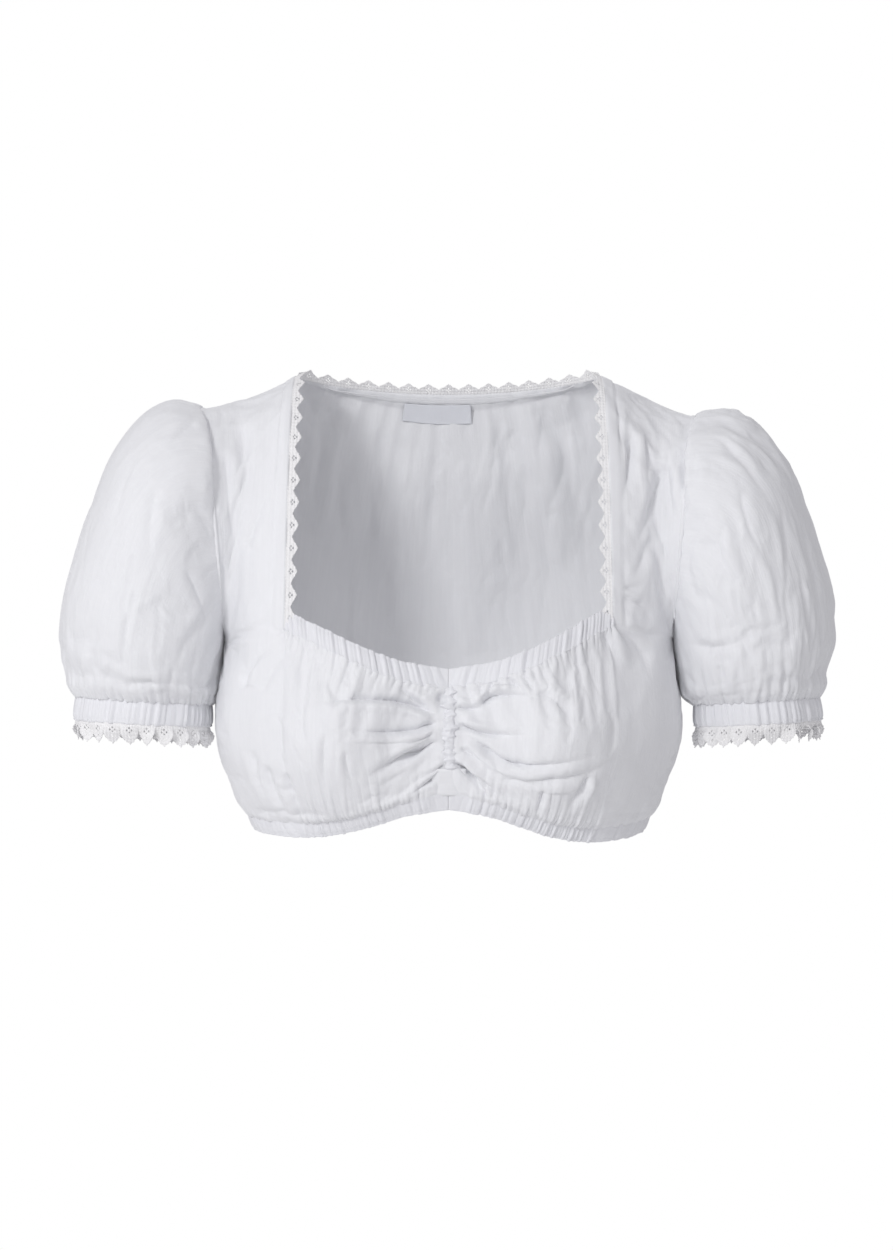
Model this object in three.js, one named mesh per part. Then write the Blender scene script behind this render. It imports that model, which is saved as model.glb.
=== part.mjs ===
// Dirndl blouse: a short cropped blouse with puff sleeves, a low gathered neckline and lace edging.
// Millimetres, +Z up. +X is the wearer's left and the front faces -Y.
// The origin is the middle of the line between the two shoulder seams, where the wearer holds it up.
import * as THREE from 'three';

// Driving sizes of the whole garment
const CLOTH = 1.4;              // wall of a single panel
const CASING_WALL = 2.2;        // wall of a casing, which is cloth folded over elastic
const LACE_WALL = 1.0;
const SEAM_GAP = 0.3;           // space between two pieces at a seam
const EDGE_GAP = 0.75;          // the same where gathers tilt the edges
const NECK_CASING_HEIGHT = 13;
const HEM_CASING_HEIGHT = 11;

const NECK_HALF_WIDTH = 111;    // neck end of the shoulder seam
const NECK_SEAM_Z = -4;
const SHOULDER_HALF_WIDTH = 182; // sleeve end of the shoulder seam
const SHOULDER_Z = -28;
const SHOULDER_SAG = 4;         // how far the shoulder seam hangs below a straight line
const UNDERARM_HALF_WIDTH = 163.5;
const UNDERARM_Z = -195;
const ARMHOLE_HALF_DEPTH = 62;
const ARMHOLE_SAG = 4.5;        // the armhole's front and back edges lie this much closer to the neck
const BACK_NECK_DEPTH = 50;     // the back neckline's middle, behind the shoulder line
const BACK_NECK_Z = -14;

const CUP_CENTRE = 85;          // from the centre front to the fullest point of a cup
const CUP_SPREAD = 48;
const FRONT_SQUARENESS = 2.35;  // exponent of the front half of a level section
const BACK_SQUARENESS = 2.2;
const STRAP_ANGLE = 0.739;      // where the strap's inner edge meets the level sections

// Level sections of the body, from the hem up
const BODY_SECTIONS = [
  // z, half width, depth at centre front, depth at centre back, cup fullness
  { z: -345, width: 138.5, front: 88, back: 82, cup: 0 },
  { z: -328, width: 142.0, front: 92, back: 84, cup: 2 },
  { z: -311, width: 153.0, front: 99, back: 88, cup: 10 },
  { z: -293, width: 160.5, front: 104, back: 90, cup: 20 },
  { z: -276, width: 166.5, front: 107, back: 92, cup: 27 },
  { z: -258, width: 169.5, front: 108, back: 94, cup: 29 },
  { z: -240, width: 169.5, front: 107, back: 95, cup: 28 },
  { z: -221, width: 167.6, front: 105, back: 95, cup: 23 },
  { z: -205, width: 164.8, front: 102, back: 95, cup: 16 },
  { z: -190, width: 162.8, front: 100, back: 95, cup: 9 },
  { z: -175, width: 161.0, front: 97, back: 94, cup: 4 },
];

// Upper edge of the neck casing, from the centre front to the strap
const NECKLINE = [
  { x: 0, z: -215.4 },
  { x: 30, z: -211 },
  { x: 57, z: -202 },
  { x: 87, z: -188 },
  { x: 109, z: -178 },
  { x: 124, z: -174 },
];

// Lower edge of the front hem casing, from the centre front to the side seam
const FRONT_HEM = [
  { x: 0, z: -316 },
  { x: 28, z: -320 },
  { x: 53, z: -327.5 },
  { x: 74, z: -333 },
  { x: 100, z: -336.5 },
  { x: 125, z: -336 },
  { x: 146, z: -333 },
];
const BACK_HEM_RISE = 12;       // the hem at the centre back, above the side seam

// Troughs that the centre ruching pulls across the cups: three points each, and how deep and wide
const CENTRE_FOLDS = [
  { side: -1, x0: 5, z0: -245, x1: 45, z1: -238, x2: 100, z2: -241, depth: 5.5, spread: 5 },
  { side: -1, x0: 5, z0: -253, x1: 40, z1: -257, x2: 90, z2: -264, depth: 4.0, spread: 5 },
  { side: -1, x0: 5, z0: -267, x1: 32, z1: -279, x2: 68, z2: -294, depth: 5.5, spread: 5 },
  { side: -1, x0: 4, z0: -288, x1: 18, z1: -298, x2: 40, z2: -308, depth: 4.5, spread: 5 },
  { side: 1, x0: 5, z0: -240, x1: 32, z1: -241, x2: 84, z2: -245, depth: 4.5, spread: 5 },
  { side: 1, x0: 8, z0: -254, x1: 36, z1: -258, x2: 66, z2: -259, depth: 4.0, spread: 5 },
  { side: 1, x0: 8, z0: -262, x1: 50, z1: -280, x2: 112, z2: -277, depth: 5.0, spread: 6 },
  { side: 1, x0: 6, z0: -284, x1: 15, z1: -295, x2: 28, z2: -307, depth: 4.0, spread: 5 },
];

// Sleeve rings from the armhole to the cuff casing: the outer and the inner end of each ring in the
// front view, and half its depth from front to back
const SLEEVE_RINGS = [
  { at: 0.00, outerX: 182.9, outerZ: -28, innerX: 165.3, innerZ: -195.5, depth: 62 },
  { at: 0.08, outerX: 192, outerZ: -24.5, innerX: 166.3, innerZ: -199, depth: 69 },
  { at: 0.18, outerX: 207, outerZ: -25, innerX: 167.6, innerZ: -203, depth: 76 },
  { at: 0.30, outerX: 225, outerZ: -36, innerX: 168.8, innerZ: -208, depth: 81 },
  { at: 0.43, outerX: 244, outerZ: -62, innerX: 169.8, innerZ: -213, depth: 83 },
  { at: 0.56, outerX: 257, outerZ: -95, innerX: 170.8, innerZ: -218, depth: 82 },
  { at: 0.69, outerX: 268, outerZ: -130, innerX: 171.6, innerZ: -224, depth: 79 },
  { at: 0.80, outerX: 277, outerZ: -163, innerX: 172.3, innerZ: -229, depth: 74 },
  { at: 0.90, outerX: 279, outerZ: -198, innerX: 173.0, innerZ: -234, depth: 66 },
  { at: 0.96, outerX: 275.5, outerZ: -221, innerX: 173.6, innerZ: -238, depth: 57 },
  { at: 1.00, outerX: 270.5, outerZ: -237, innerX: 174.5, innerZ: -242, depth: 49 },
];
const CUFF = {
  top: { outerX: 270.5, outerZ: -237.9, innerX: 174.5, innerZ: -242.9, depth: 49 },
  bottom: { outerX: 272.5, outerZ: -254, innerX: 174.2, innerZ: -259, depth: 49.5 },
  laceTop: { outerX: 272.3, outerZ: -254.8, innerX: 174.4, innerZ: -259.8, depth: 49.3 },
  laceTip: { outerX: 266, outerZ: -269, innerX: 176, innerZ: -275, depth: 46 },
};
const CUFF_TOOTH = 0.42;        // share of the cuff lace's height taken by its points

// How finely each piece is divided, and how many gathers it carries
const NECK_GATHERS = 20;        // on each side of the centre front
const FRONT_HEM_GATHERS = 24;   // on each side of the centre front
const BACK_HEM_GATHERS = 32;
const CUFF_GATHERS = 20;
const CUFF_POINTS = 24;
const SIDE_POINTS = 12;
const BACK_POINTS = 15;
const FRONT_INNER_COLUMNS = 9;
const STRAP_COLUMNS = 6;
const FRONT_ROWS = 14;
const STRAP_ROWS = 11;
const BACK_HALF_COLUMNS = 11;
const BACK_ROWS = 8;
const YOKE_ROWS = 10;
const SLEEVE_COLUMNS = 2 * CUFF_GATHERS;
const SLEEVE_ROWS = 12;
const HEAD_GATHER = 2.2;        // depth of the gathers at the sleeve head, where they are deepest
const HEAD_REACH = 0.11;        // how far down the sleeve that is, as a share of its length

const clamp01 = (t) => Math.min(Math.max(t, 0), 1);
const lerp = (a, b, t) => a + (b - a) * t;
const smooth = (t) => clamp01(t) ** 2 * (3 - 2 * clamp01(t));
const signedPower = (v, p) => Math.sign(v) * Math.abs(v) ** p;
const bell = (v) => Math.exp(-v * v);

// Value of one column of a table at a key, on a smooth curve through its rows
function readTable(table, key, column, value) {
  const last = table.length - 1;
  const rising = table[last][key] > table[0][key];
  let i = 0;
  while (i < last - 1 && (rising ? value > table[i + 1][key] : value < table[i + 1][key])) i += 1;
  const slope = (a, b) => (table[b][column] - table[a][column]) / (table[b][key] - table[a][key]);
  const k0 = table[i][key];
  const step = table[i + 1][key] - k0;
  const t = clamp01((value - k0) / step);
  const m0 = (i > 0 ? slope(i - 1, i + 1) : slope(i, i + 1)) * step;
  const m1 = (i + 2 <= last ? slope(i, i + 2) : slope(i, i + 1)) * step;
  const p0 = table[i][column];
  const p1 = table[i + 1][column];
  const t2 = t * t;
  const t3 = t2 * t;
  return (2 * t3 - 3 * t2 + 1) * p0 + (t3 - 2 * t2 + t) * m0 + (3 * t2 - 2 * t3) * p1 + (t3 - t2) * m1;
}

// A point of the body's tube. The angle is 0 at the centre front, a right angle at the side seam
// and half a turn at the centre back.
function bodyPoint(side, angle, z) {
  const front = Math.cos(angle) > 0;
  const squareness = 2 / (front ? FRONT_SQUARENESS : BACK_SQUARENESS);
  const width = readTable(BODY_SECTIONS, 'z', 'width', z);
  const depth = readTable(BODY_SECTIONS, 'z', front ? 'front' : 'back', z);
  const x = width * signedPower(Math.sin(angle), squareness);
  let y = -depth * signedPower(Math.cos(angle), squareness);
  if (front) {
    const cup = readTable(BODY_SECTIONS, 'z', 'cup', z);
    y -= cup * bell((x - CUP_CENTRE) / CUP_SPREAD) * (1 - Math.sin(angle) ** 6);
  }
  return new THREE.Vector3(side * x, y, z);
}

// The armhole's edge. The angle is 0 at the shoulder, a right angle at the front and half a turn
// at the underarm.
function armholePoint(side, angle) {
  const middleX = (SHOULDER_HALF_WIDTH + UNDERARM_HALF_WIDTH) / 2;
  const middleZ = (SHOULDER_Z + UNDERARM_Z) / 2;
  const x = middleX + (SHOULDER_HALF_WIDTH - middleX) * Math.cos(angle)
    - ARMHOLE_SAG * Math.sin(angle) ** 2;
  const z = middleZ + (SHOULDER_Z - middleZ) * Math.cos(angle);
  return new THREE.Vector3(side * x, -ARMHOLE_HALF_DEPTH * Math.sin(angle), z);
}

// An arc of an ellipse from a point on the chest or back up and over to one at the top. A full
// turn, a quarter of the ellipse, ends level.
function rollOver(low, high, t, fullTurn = Math.PI / 2) {
  const turn = t * fullTurn;
  const drop = (Math.cos(turn) - Math.cos(fullTurn)) / (1 - Math.cos(fullTurn));
  return new THREE.Vector3(
    lerp(low.x, high.x, t),
    high.y + (low.y - high.y) * drop,
    low.z + (high.z - low.z) * Math.sin(turn) / Math.sin(fullTurn),
  );
}

// Heights of the panels' edges
const neckEdge = (x) => readTable(NECKLINE, 'x', 'z', Math.abs(x));
const frontHem = (x) => readTable(FRONT_HEM, 'x', 'z', Math.abs(x));
const sideHem = FRONT_HEM[FRONT_HEM.length - 1].z;
const backHem = (angle) => sideHem + BACK_HEM_RISE * Math.cos(angle) ** 2;

// The angle of a front column: the inner columns run under the casing, the rest under the strap
function frontAngle(column) {
  if (column <= FRONT_INNER_COLUMNS) return STRAP_ANGLE * column / FRONT_INNER_COLUMNS;
  return lerp(STRAP_ANGLE, Math.PI / 2, (column - FRONT_INNER_COLUMNS) / STRAP_COLUMNS);
}

// Where a body column of this angle crosses an edge whose height depends on x
function edgePoint(side, angle, heightAt, guess) {
  let point = bodyPoint(side, angle, guess);
  for (let i = 0; i < 4; i += 1) point = bodyPoint(side, angle, heightAt(point.x));
  return point;
}

// How far the folds from the centre ruching sink into the front at a point
function centreFoldDepth(side, x, z) {
  let sink = 0;
  for (const fold of CENTRE_FOLDS) {
    if (fold.side !== side) continue;
    const { x0, x1, x2, z0, z1, z2 } = fold;
    const reach = clamp01((x - x0) / (x2 - x0));
    const middle = z0 * ((x - x1) * (x - x2)) / ((x0 - x1) * (x0 - x2))
      + z1 * ((x - x0) * (x - x2)) / ((x1 - x0) * (x1 - x2))
      + z2 * ((x - x0) * (x - x1)) / ((x2 - x0) * (x2 - x1));
    const along = smooth((x - x0 + 4) / 12) * (1 - smooth(reach));
    sink += fold.depth * along * bell((z - middle) / fold.spread);
  }
  return sink;
}

// The soft gathers of a panel just above its hem casing
function gatherAt(column, row, height) {
  const depth = row === 0 ? 0.25 : 1.3 * Math.exp(-height / 16);
  return column % 2 ? depth : -depth;
}

// A piece of cloth as a surface of four-sided faces, to be given a wall
class Surface {
  constructor() {
    this.points = [];
    this.faces = [];
  }

  // Adds a grid of faces. firstRow reuses vertices of a row made before, and wrap closes each row.
  grid(columns, rows, pointAt, { firstRow = null, wrap = false } = {}) {
    const index = [];
    for (let row = 0; row <= rows; row += 1) {
      const line = [];
      for (let column = 0; column <= columns; column += 1) {
        if (row === 0 && firstRow) line.push(firstRow[column]);
        else if (wrap && column === columns) line.push(line[0]);
        else line.push(this.points.push(pointAt(column, row)) - 1);
      }
      index.push(line);
    }
    for (let row = 0; row < rows; row += 1) {
      for (let column = 0; column < columns; column += 1) {
        this.faces.push([index[row][column], index[row][column + 1],
          index[row + 1][column + 1], index[row + 1][column]]);
      }
    }
    return index;
  }

  // Directions out of the surface at its points, away from a reference point on the whole
  normals(away) {
    const out = this.points.map(() => new THREE.Vector3());
    let facing = 0;
    for (const face of this.faces) {
      const [a, b, c, d] = face.map((i) => this.points[i]);
      const n = new THREE.Vector3().crossVectors(c.clone().sub(a), d.clone().sub(b));
      const centre = a.clone().add(c).multiplyScalar(0.5);
      facing += n.dot(centre.sub(away));
      for (const i of face) out[i].add(n);
    }
    for (const n of out) n.normalize().multiplyScalar(Math.sign(facing));
    return out;
  }

  // A closed wall round the surface. raise(i) lifts the outer face at point i, and trim keeps
  // every corner on its own side of a seam.
  wall(thickness, away, { raise = () => 0, trim = (p) => p, move = 0 } = {}) {
    const normals = this.normals(away);
    const corners = [];
    this.points.forEach((p, i) => {
      corners.push(trim(p.clone().addScaledVector(normals[i], move + thickness / 2 + raise(i))));
    });
    this.points.forEach((p, i) => {
      corners.push(trim(p.clone().addScaledVector(normals[i], move - thickness / 2)));
    });
    const count = this.points.length;
    const triangles = [];
    const edges = new Map();
    for (const [a, b, c, d] of this.faces) {
      triangles.push([a, b, c], [a, c, d]);
      triangles.push([a + count, c + count, b + count], [a + count, d + count, c + count]);
      for (const [from, to] of [[a, b], [b, c], [c, d], [d, a]]) {
        if (edges.has(`${to} ${from}`)) edges.delete(`${to} ${from}`);
        else edges.set(`${from} ${to}`, [from, to]);
      }
    }
    for (const [from, to] of edges.values()) {
      triangles.push([from, from + count, to + count], [from, to + count, to]);
    }
    return closedGeometry(corners, triangles);
  }
}

// A geometry from corners and triangles, turned so that its faces point out
function closedGeometry(corners, triangles) {
  let volume = 0;
  for (const [a, b, c] of triangles) {
    volume += corners[a].dot(new THREE.Vector3().crossVectors(corners[b], corners[c]));
  }
  const index = triangles.flatMap(([a, b, c]) => (volume > 0 ? [a, b, c] : [a, c, b]));
  const geometry = new THREE.BufferGeometry();
  geometry.setAttribute('position', new THREE.Float32BufferAttribute(
    corners.flatMap((p) => [p.x, p.y, p.z]), 3));
  geometry.setIndex(index);
  geometry.computeVertexNormals();
  return geometry;
}

const blouse = new THREE.Group();
const BODY_MIDDLE = new THREE.Vector3(0, 0, -200);

function add(name, geometry, colour, roughness = 0.85) {
  const material = new THREE.MeshStandardMaterial({ color: colour, roughness, metalness: 0 });
  const mesh = new THREE.Mesh(geometry, material);
  mesh.name = name;
  blouse.add(mesh);
}

const COTTON = 0xe9eaee;
const CASING = 0xdfe1e8;
const LACE = 0xf3f0ea;
const LABEL = 0xf7f7fa;
const SIDES = [['right', -1], ['left', 1]];

// The strap's and the yoke's edges at the shoulder
const shoulderPoint = (side) => new THREE.Vector3(side * SHOULDER_HALF_WIDTH, 0, SHOULDER_Z);
function shoulderSeam(side, across) {
  const sag = SHOULDER_SAG * Math.sin(Math.PI * across);
  const x = lerp(NECK_HALF_WIDTH, SHOULDER_HALF_WIDTH, across);
  return new THREE.Vector3(side * x, 0, lerp(NECK_SEAM_Z, SHOULDER_Z, across) - sag);
}

// A point of the front above the underarm: across runs from the neck edge to the armhole
function strapPoint(side, across, t) {
  const corner = edgePoint(side, STRAP_ANGLE, (x) => neckEdge(x) - NECK_CASING_HEIGHT, UNDERARM_Z);
  const angle = lerp(STRAP_ANGLE, Math.PI / 2, across);
  const low = bodyPoint(side, angle, lerp(corner.z, UNDERARM_Z, across));
  const outerLow = bodyPoint(side, Math.PI / 2, UNDERARM_Z);
  const miss = armholePoint(side, Math.PI * (1 - t)).sub(rollOver(outerLow, shoulderPoint(side), t));
  return rollOver(low, shoulderSeam(side, across), t).addScaledVector(miss, across ** 2);
}

// Front panels: cup part with the folds from the centre, and strap up to the shoulder seam
function frontPanel(side) {
  const surface = new Surface();
  const columns = FRONT_INNER_COLUMNS + STRAP_COLUMNS;
  const body = surface.grid(columns, FRONT_ROWS, (column, row) => {
    const angle = frontAngle(column);
    const low = edgePoint(side, angle, (x) => frontHem(x) + HEM_CASING_HEIGHT + EDGE_GAP, -320);
    const corner = edgePoint(side, STRAP_ANGLE, (x) => neckEdge(x) - NECK_CASING_HEIGHT, UNDERARM_Z);
    const across = (column - FRONT_INNER_COLUMNS) / STRAP_COLUMNS;
    const high = across < 0
      ? edgePoint(side, angle, (x) => neckEdge(x) - NECK_CASING_HEIGHT, -220)
      : bodyPoint(side, angle, lerp(corner.z, UNDERARM_Z, across));
    const z = lerp(low.z, high.z, row / FRONT_ROWS);
    const point = bodyPoint(side, angle, z);
    const gather = gatherAt(column, row, z - low.z);
    const sink = row === 0 || row === FRONT_ROWS ? 0 : centreFoldDepth(side, Math.abs(point.x), z);
    point.y += (sink - gather) * Math.cos(angle);
    point.x += side * gather * Math.sin(angle) * (column === columns ? 0 : 1);
    return point;
  });
  const shared = body[FRONT_ROWS].slice(FRONT_INNER_COLUMNS);
  surface.grid(STRAP_COLUMNS, STRAP_ROWS, (column, row) => (
    strapPoint(side, column / STRAP_COLUMNS, row / STRAP_ROWS)), { firstRow: shared });
  const trim = (p) => {
    p.y = Math.min(p.y, -SEAM_GAP / 2);
    p.x = side * Math.max(side * p.x, SEAM_GAP / 2);
    return p;
  };
  return surface.wall(CLOTH, BODY_MIDDLE, { trim });
}
for (const [name, side] of SIDES) add(`front_${name}`, frontPanel(side), COTTON);

// The back's upper edge: shoulder seam, neckline and shoulder seam
const NECK_SHARE = 7 / 11;      // share of the back's columns that end at the neckline
const BACK_NECK_TURN = 0.85;    // how far the back leans in at the middle of its neckline
function backTop(across) {
  const side = Math.sign(across) || 1;
  const from = Math.abs(across);
  if (from > NECK_SHARE) {
    return shoulderSeam(side, (from - NECK_SHARE) / (1 - NECK_SHARE));
  }
  const turn = from / NECK_SHARE;
  const x = NECK_HALF_WIDTH * turn;
  const y = BACK_NECK_DEPTH * Math.sqrt(Math.max(1 - turn ** 3, 0));
  return new THREE.Vector3(side * x, y, lerp(BACK_NECK_Z, NECK_SEAM_Z, turn ** 2));
}

// A point of the back above the underarm: across runs from -1 to 1, from armhole to armhole
function yokePoint(across, t) {
  const side = Math.sign(across) || 1;
  const from = Math.abs(across);
  const low = bodyPoint(side, Math.PI - from * Math.PI / 2, UNDERARM_Z);
  const outerLow = bodyPoint(side, Math.PI / 2, UNDERARM_Z);
  const miss = armholePoint(side, Math.PI * (1 + t)).sub(rollOver(outerLow, shoulderPoint(side), t));
  const fullTurn = lerp(BACK_NECK_TURN, Math.PI / 2, smooth(from / NECK_SHARE));
  return rollOver(low, backTop(across), t, fullTurn).addScaledVector(miss, from ** 3);
}

// Back panel in one piece
function backPanel() {
  const surface = new Surface();
  const columns = 2 * BACK_HALF_COLUMNS;
  const acrossAt = (column) => column / BACK_HALF_COLUMNS - 1;
  const body = surface.grid(columns, BACK_ROWS, (column, row) => {
    const across = acrossAt(column);
    const angle = Math.PI - Math.abs(across) * Math.PI / 2;
    const low = backHem(angle) + HEM_CASING_HEIGHT + EDGE_GAP;
    const z = lerp(low, UNDERARM_Z, row / BACK_ROWS);
    const point = bodyPoint(Math.sign(across) || 1, angle, z);
    point.y += gatherAt(column, row, z - low) * Math.abs(Math.cos(angle));
    return point;
  });
  surface.grid(columns, YOKE_ROWS, (column, row) => (
    yokePoint(acrossAt(column), row / YOKE_ROWS)), { firstRow: body[BACK_ROWS] });
  const trim = (p) => {
    p.y = Math.max(p.y, SEAM_GAP / 2);
    return p;
  };
  return surface.wall(CLOTH, BODY_MIDDLE, { trim });
}
add('back', backPanel(), COTTON);

// Neck casings: gathered bands from the centre front to the straps
function neckCasing(side) {
  const surface = new Surface();
  const columns = 2 * NECK_GATHERS;
  const endGap = 0.014;         // keeps the band's end clear of the strap
  surface.grid(columns, 1, (column, row) => {
    const angle = (STRAP_ANGLE - endGap) * column / columns;
    const drop = row === 0 ? NECK_CASING_HEIGHT - EDGE_GAP : 0;
    return edgePoint(side, angle, (x) => neckEdge(x) - drop, -215);
  });
  const trim = (p) => {
    p.x = side * Math.max(side * p.x, SEAM_GAP / 2);
    return p;
  };
  const raise = (i) => ((i % (columns + 1)) % 2 ? 1.0 : 0);
  return surface.wall(CASING_WALL, BODY_MIDDLE, { raise, trim });
}
for (const [name, side] of SIDES) add(`neck_casing_${name}`, neckCasing(side), CASING);

// Hem casings: gathered bands that hold the elastic under the bust
function hemCasing(side, gathers, angleAt, bottomAt, trim) {
  const surface = new Surface();
  const columns = 2 * gathers;
  surface.grid(columns, 1, (column, row) => {
    const angle = angleAt(column / columns);
    const rise = row === 0 ? 0 : HEM_CASING_HEIGHT;
    return bottomAt(angle, rise);
  });
  const raise = (i) => ((i % (columns + 1)) % 2 ? 1.0 : 0);
  return surface.wall(CASING_WALL, new THREE.Vector3(0, 0, -330), { raise, trim });
}
for (const [name, side] of SIDES) {
  const trim = (p) => {
    p.y = Math.min(p.y, -SEAM_GAP / 2);
    p.x = side * Math.max(side * p.x, SEAM_GAP / 2);
    return p;
  };
  add(`hem_casing_front_${name}`, hemCasing(side, FRONT_HEM_GATHERS, (t) => t * Math.PI / 2,
    (angle, rise) => edgePoint(side, angle, (x) => frontHem(x) + rise, -325), trim), CASING);
}
add('hem_casing_back', hemCasing(1, BACK_HEM_GATHERS, (t) => Math.PI / 2 + t * Math.PI,
  (angle, rise) => {
    const side = angle > Math.PI ? -1 : 1;
    const half = angle > Math.PI ? 2 * Math.PI - angle : angle;
    return bodyPoint(side, half, backHem(half) + rise);
  },
  (p) => {
    p.y = Math.max(p.y, SEAM_GAP / 2);
    return p;
  }), CASING);

// Sleeves: puffed tubes that turn from the upright armhole to the level cuff
function ringPoint(side, ring, turn, sag = 0) {
  const middleX = (ring.outerX + ring.innerX) / 2;
  const middleZ = (ring.outerZ + ring.innerZ) / 2;
  const x = middleX + (ring.outerX - middleX) * Math.cos(turn) - sag * Math.sin(turn) ** 2;
  const z = middleZ + (ring.outerZ - middleZ) * Math.cos(turn);
  return new THREE.Vector3(side * x, -ring.depth * Math.sin(turn), z);
}

function sleeveRing(at) {
  const ring = {};
  for (const column of ['outerX', 'outerZ', 'innerX', 'innerZ', 'depth']) {
    ring[column] = readTable(SLEEVE_RINGS, 'at', column, at);
  }
  return ring;
}

function sleeve(side) {
  const surface = new Surface();
  surface.grid(SLEEVE_COLUMNS, SLEEVE_ROWS, (column, row) => {
    const at = row / SLEEVE_ROWS;
    const turn = 2 * Math.PI * column / SLEEVE_COLUMNS;
    const ring = sleeveRing(at);
    const head = HEAD_GATHER * Math.E * (at / HEAD_REACH) * Math.exp(-at / HEAD_REACH)
      * smooth(Math.cos(turn));
    const cuff = row === SLEEVE_ROWS ? 0.6 : 1.6 * Math.exp(-(1 - at) / 0.07);
    const gather = (column % 2 ? 1 : -1) * (head + cuff);
    const grown = { ...ring, depth: ring.depth + gather };
    grown.outerX += gather * at;
    grown.outerZ += gather * (1 - at);
    return ringPoint(side, grown, turn, ARMHOLE_SAG * (1 - smooth(at / 0.4)));
  }, { wrap: true });
  return surface.wall(CLOTH, new THREE.Vector3(side * 222, 0, -140));
}
for (const [name, side] of SIDES) add(`sleeve_${name}`, sleeve(side), COTTON);

// Cuff casings: gathered bands round the arm
function cuffCasing(side) {
  const surface = new Surface();
  const columns = 2 * CUFF_GATHERS;
  surface.grid(columns, 1, (column, row) => (
    ringPoint(side, row === 0 ? CUFF.top : CUFF.bottom, 2 * Math.PI * column / columns)),
  { wrap: true });
  const raise = (i) => (i % 2 ? 1.0 : 0);
  return surface.wall(CASING_WALL, new THREE.Vector3(side * 222, 0, -250), { raise });
}
for (const [name, side] of SIDES) add(`cuff_casing_${name}`, cuffCasing(side), CASING);

// Cuff lace: a band of triangular points below each cuff
function cuffLace(side) {
  const surface = new Surface();
  const columns = 2 * CUFF_POINTS;
  surface.grid(columns, 1, (column, row) => {
    const turn = 2 * Math.PI * column / columns;
    const top = ringPoint(side, CUFF.laceTop, turn);
    if (row === 0) return top;
    return top.lerp(ringPoint(side, CUFF.laceTip, turn), column % 2 ? 1 : 1 - CUFF_TOOTH);
  }, { wrap: true });
  return surface.wall(LACE_WALL, new THREE.Vector3(side * 222, 0, -260));
}
for (const [name, side] of SIDES) add(`cuff_lace_${name}`, cuffLace(side), LACE);

// Neck lace: bands of triangular points along the straps and the back neckline
const NECK_LACE_WIDTH = 8.5;
const NECK_LACE_POINT = 3.8;
const LACE_CORNER_LIFT = 1.1;   // how steeply the lace stands up where strap meets back
function laceBand(points, start, edgeAt, leanAt, trim) {
  const surface = new Surface();
  const columns = 2 * points;
  surface.grid(columns, 1, (column, row) => {
    const t = column / columns;
    const reach = row === 0 ? start : NECK_LACE_WIDTH - (column % 2 ? 0 : NECK_LACE_POINT);
    return edgeAt(t).addScaledVector(leanAt(t), reach);
  });
  return surface.wall(LACE_WALL, new THREE.Vector3(0, 0, -600), { trim });
}
for (const [name, side] of SIDES) {
  const startAt = 0.075;        // the lace starts above the end of the neck casing
  const lean = (t) => {
    const lift = LACE_CORNER_LIFT * smooth((t - 0.6) / 0.4);
    return new THREE.Vector3(-side, -0.3 * (1 - t), lift).normalize();
  };
  const trim = (p) => {
    p.y = Math.min(p.y, -SEAM_GAP / 2);
    return p;
  };
  add(`neck_lace_${name}`, laceBand(SIDE_POINTS, 0.8,
    (t) => strapPoint(side, 0, lerp(startAt, 1, t)), lean, trim), LACE);
}
add('neck_lace_back', laceBand(BACK_POINTS, 1.7,
  (t) => backTop(lerp(-NECK_SHARE, NECK_SHARE, t)),
  (t) => {
    const from = 2 * t - 1;
    const corner = smooth((Math.abs(from) - 0.8) / 0.2);
    return new THREE.Vector3(-Math.sign(from) * corner, -0.6 * (1 - corner),
      lerp(1, LACE_CORNER_LIFT, corner)).normalize();
  },
  (p) => {
    p.y = Math.max(p.y, SEAM_GAP / 2);
    return p;
  }), LACE);

// Facing inside the back neckline, and the blank label that hangs below it
function insideBack(columns, rows, fromAcross, toAcross, fromT, toT, inset) {
  const surface = new Surface();
  surface.grid(columns, rows, (column, row) => (
    yokePoint(lerp(fromAcross, toAcross, column / columns), lerp(fromT, toT, row / rows))));
  return surface.wall(1.0, BODY_MIDDLE, { move: -inset });
}
const backColumn = (column) => column / BACK_HALF_COLUMNS;
add('back_neck_facing', insideBack(12, 1, backColumn(-6), backColumn(6), 0.955, 0.985, 2.6), COTTON);
add('label', insideBack(3, 2, backColumn(-2), backColumn(1), 0.862, 0.945, 1.8), LABEL, 0.5);

// Centre front: the ruched tape over the seam, and the flat tab below it
const RUCHING_TOP = -231;
const RUCHING_BOTTOM = -288;
const TAB_BOTTOM = -304.5;
const RUCHING_KNOTS = 7;
function centreStrip(columns, fromZ, toZ, halfWidthAt, standOff) {
  const surface = new Surface();
  surface.grid(2, columns, (column, row) => {
    const z = lerp(fromZ, toZ, row / columns);
    const point = bodyPoint(1, 0, z);
    point.x = (column - 1) * halfWidthAt(row);
    point.y -= standOff;
    return point;
  });
  const raise = (i) => (i % 3 === 1 && Math.floor(i / 3) % 2 ? 1.4 : 0);
  return surface.wall(1.2, BODY_MIDDLE, { raise });
}
add('centre_ruching', centreStrip(2 * RUCHING_KNOTS, RUCHING_TOP, RUCHING_BOTTOM,
  (row) => (row % 2 ? 4.2 : 2.6), 2.2), CASING);
add('centre_tab', centreStrip(3, RUCHING_BOTTOM - SEAM_GAP, TAB_BOTTOM, () => 8, 2.6), COTTON);

export default blouse;
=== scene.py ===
import bisect
import functools
import math
import random

import bmesh
import bpy
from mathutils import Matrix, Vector, noise


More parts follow.
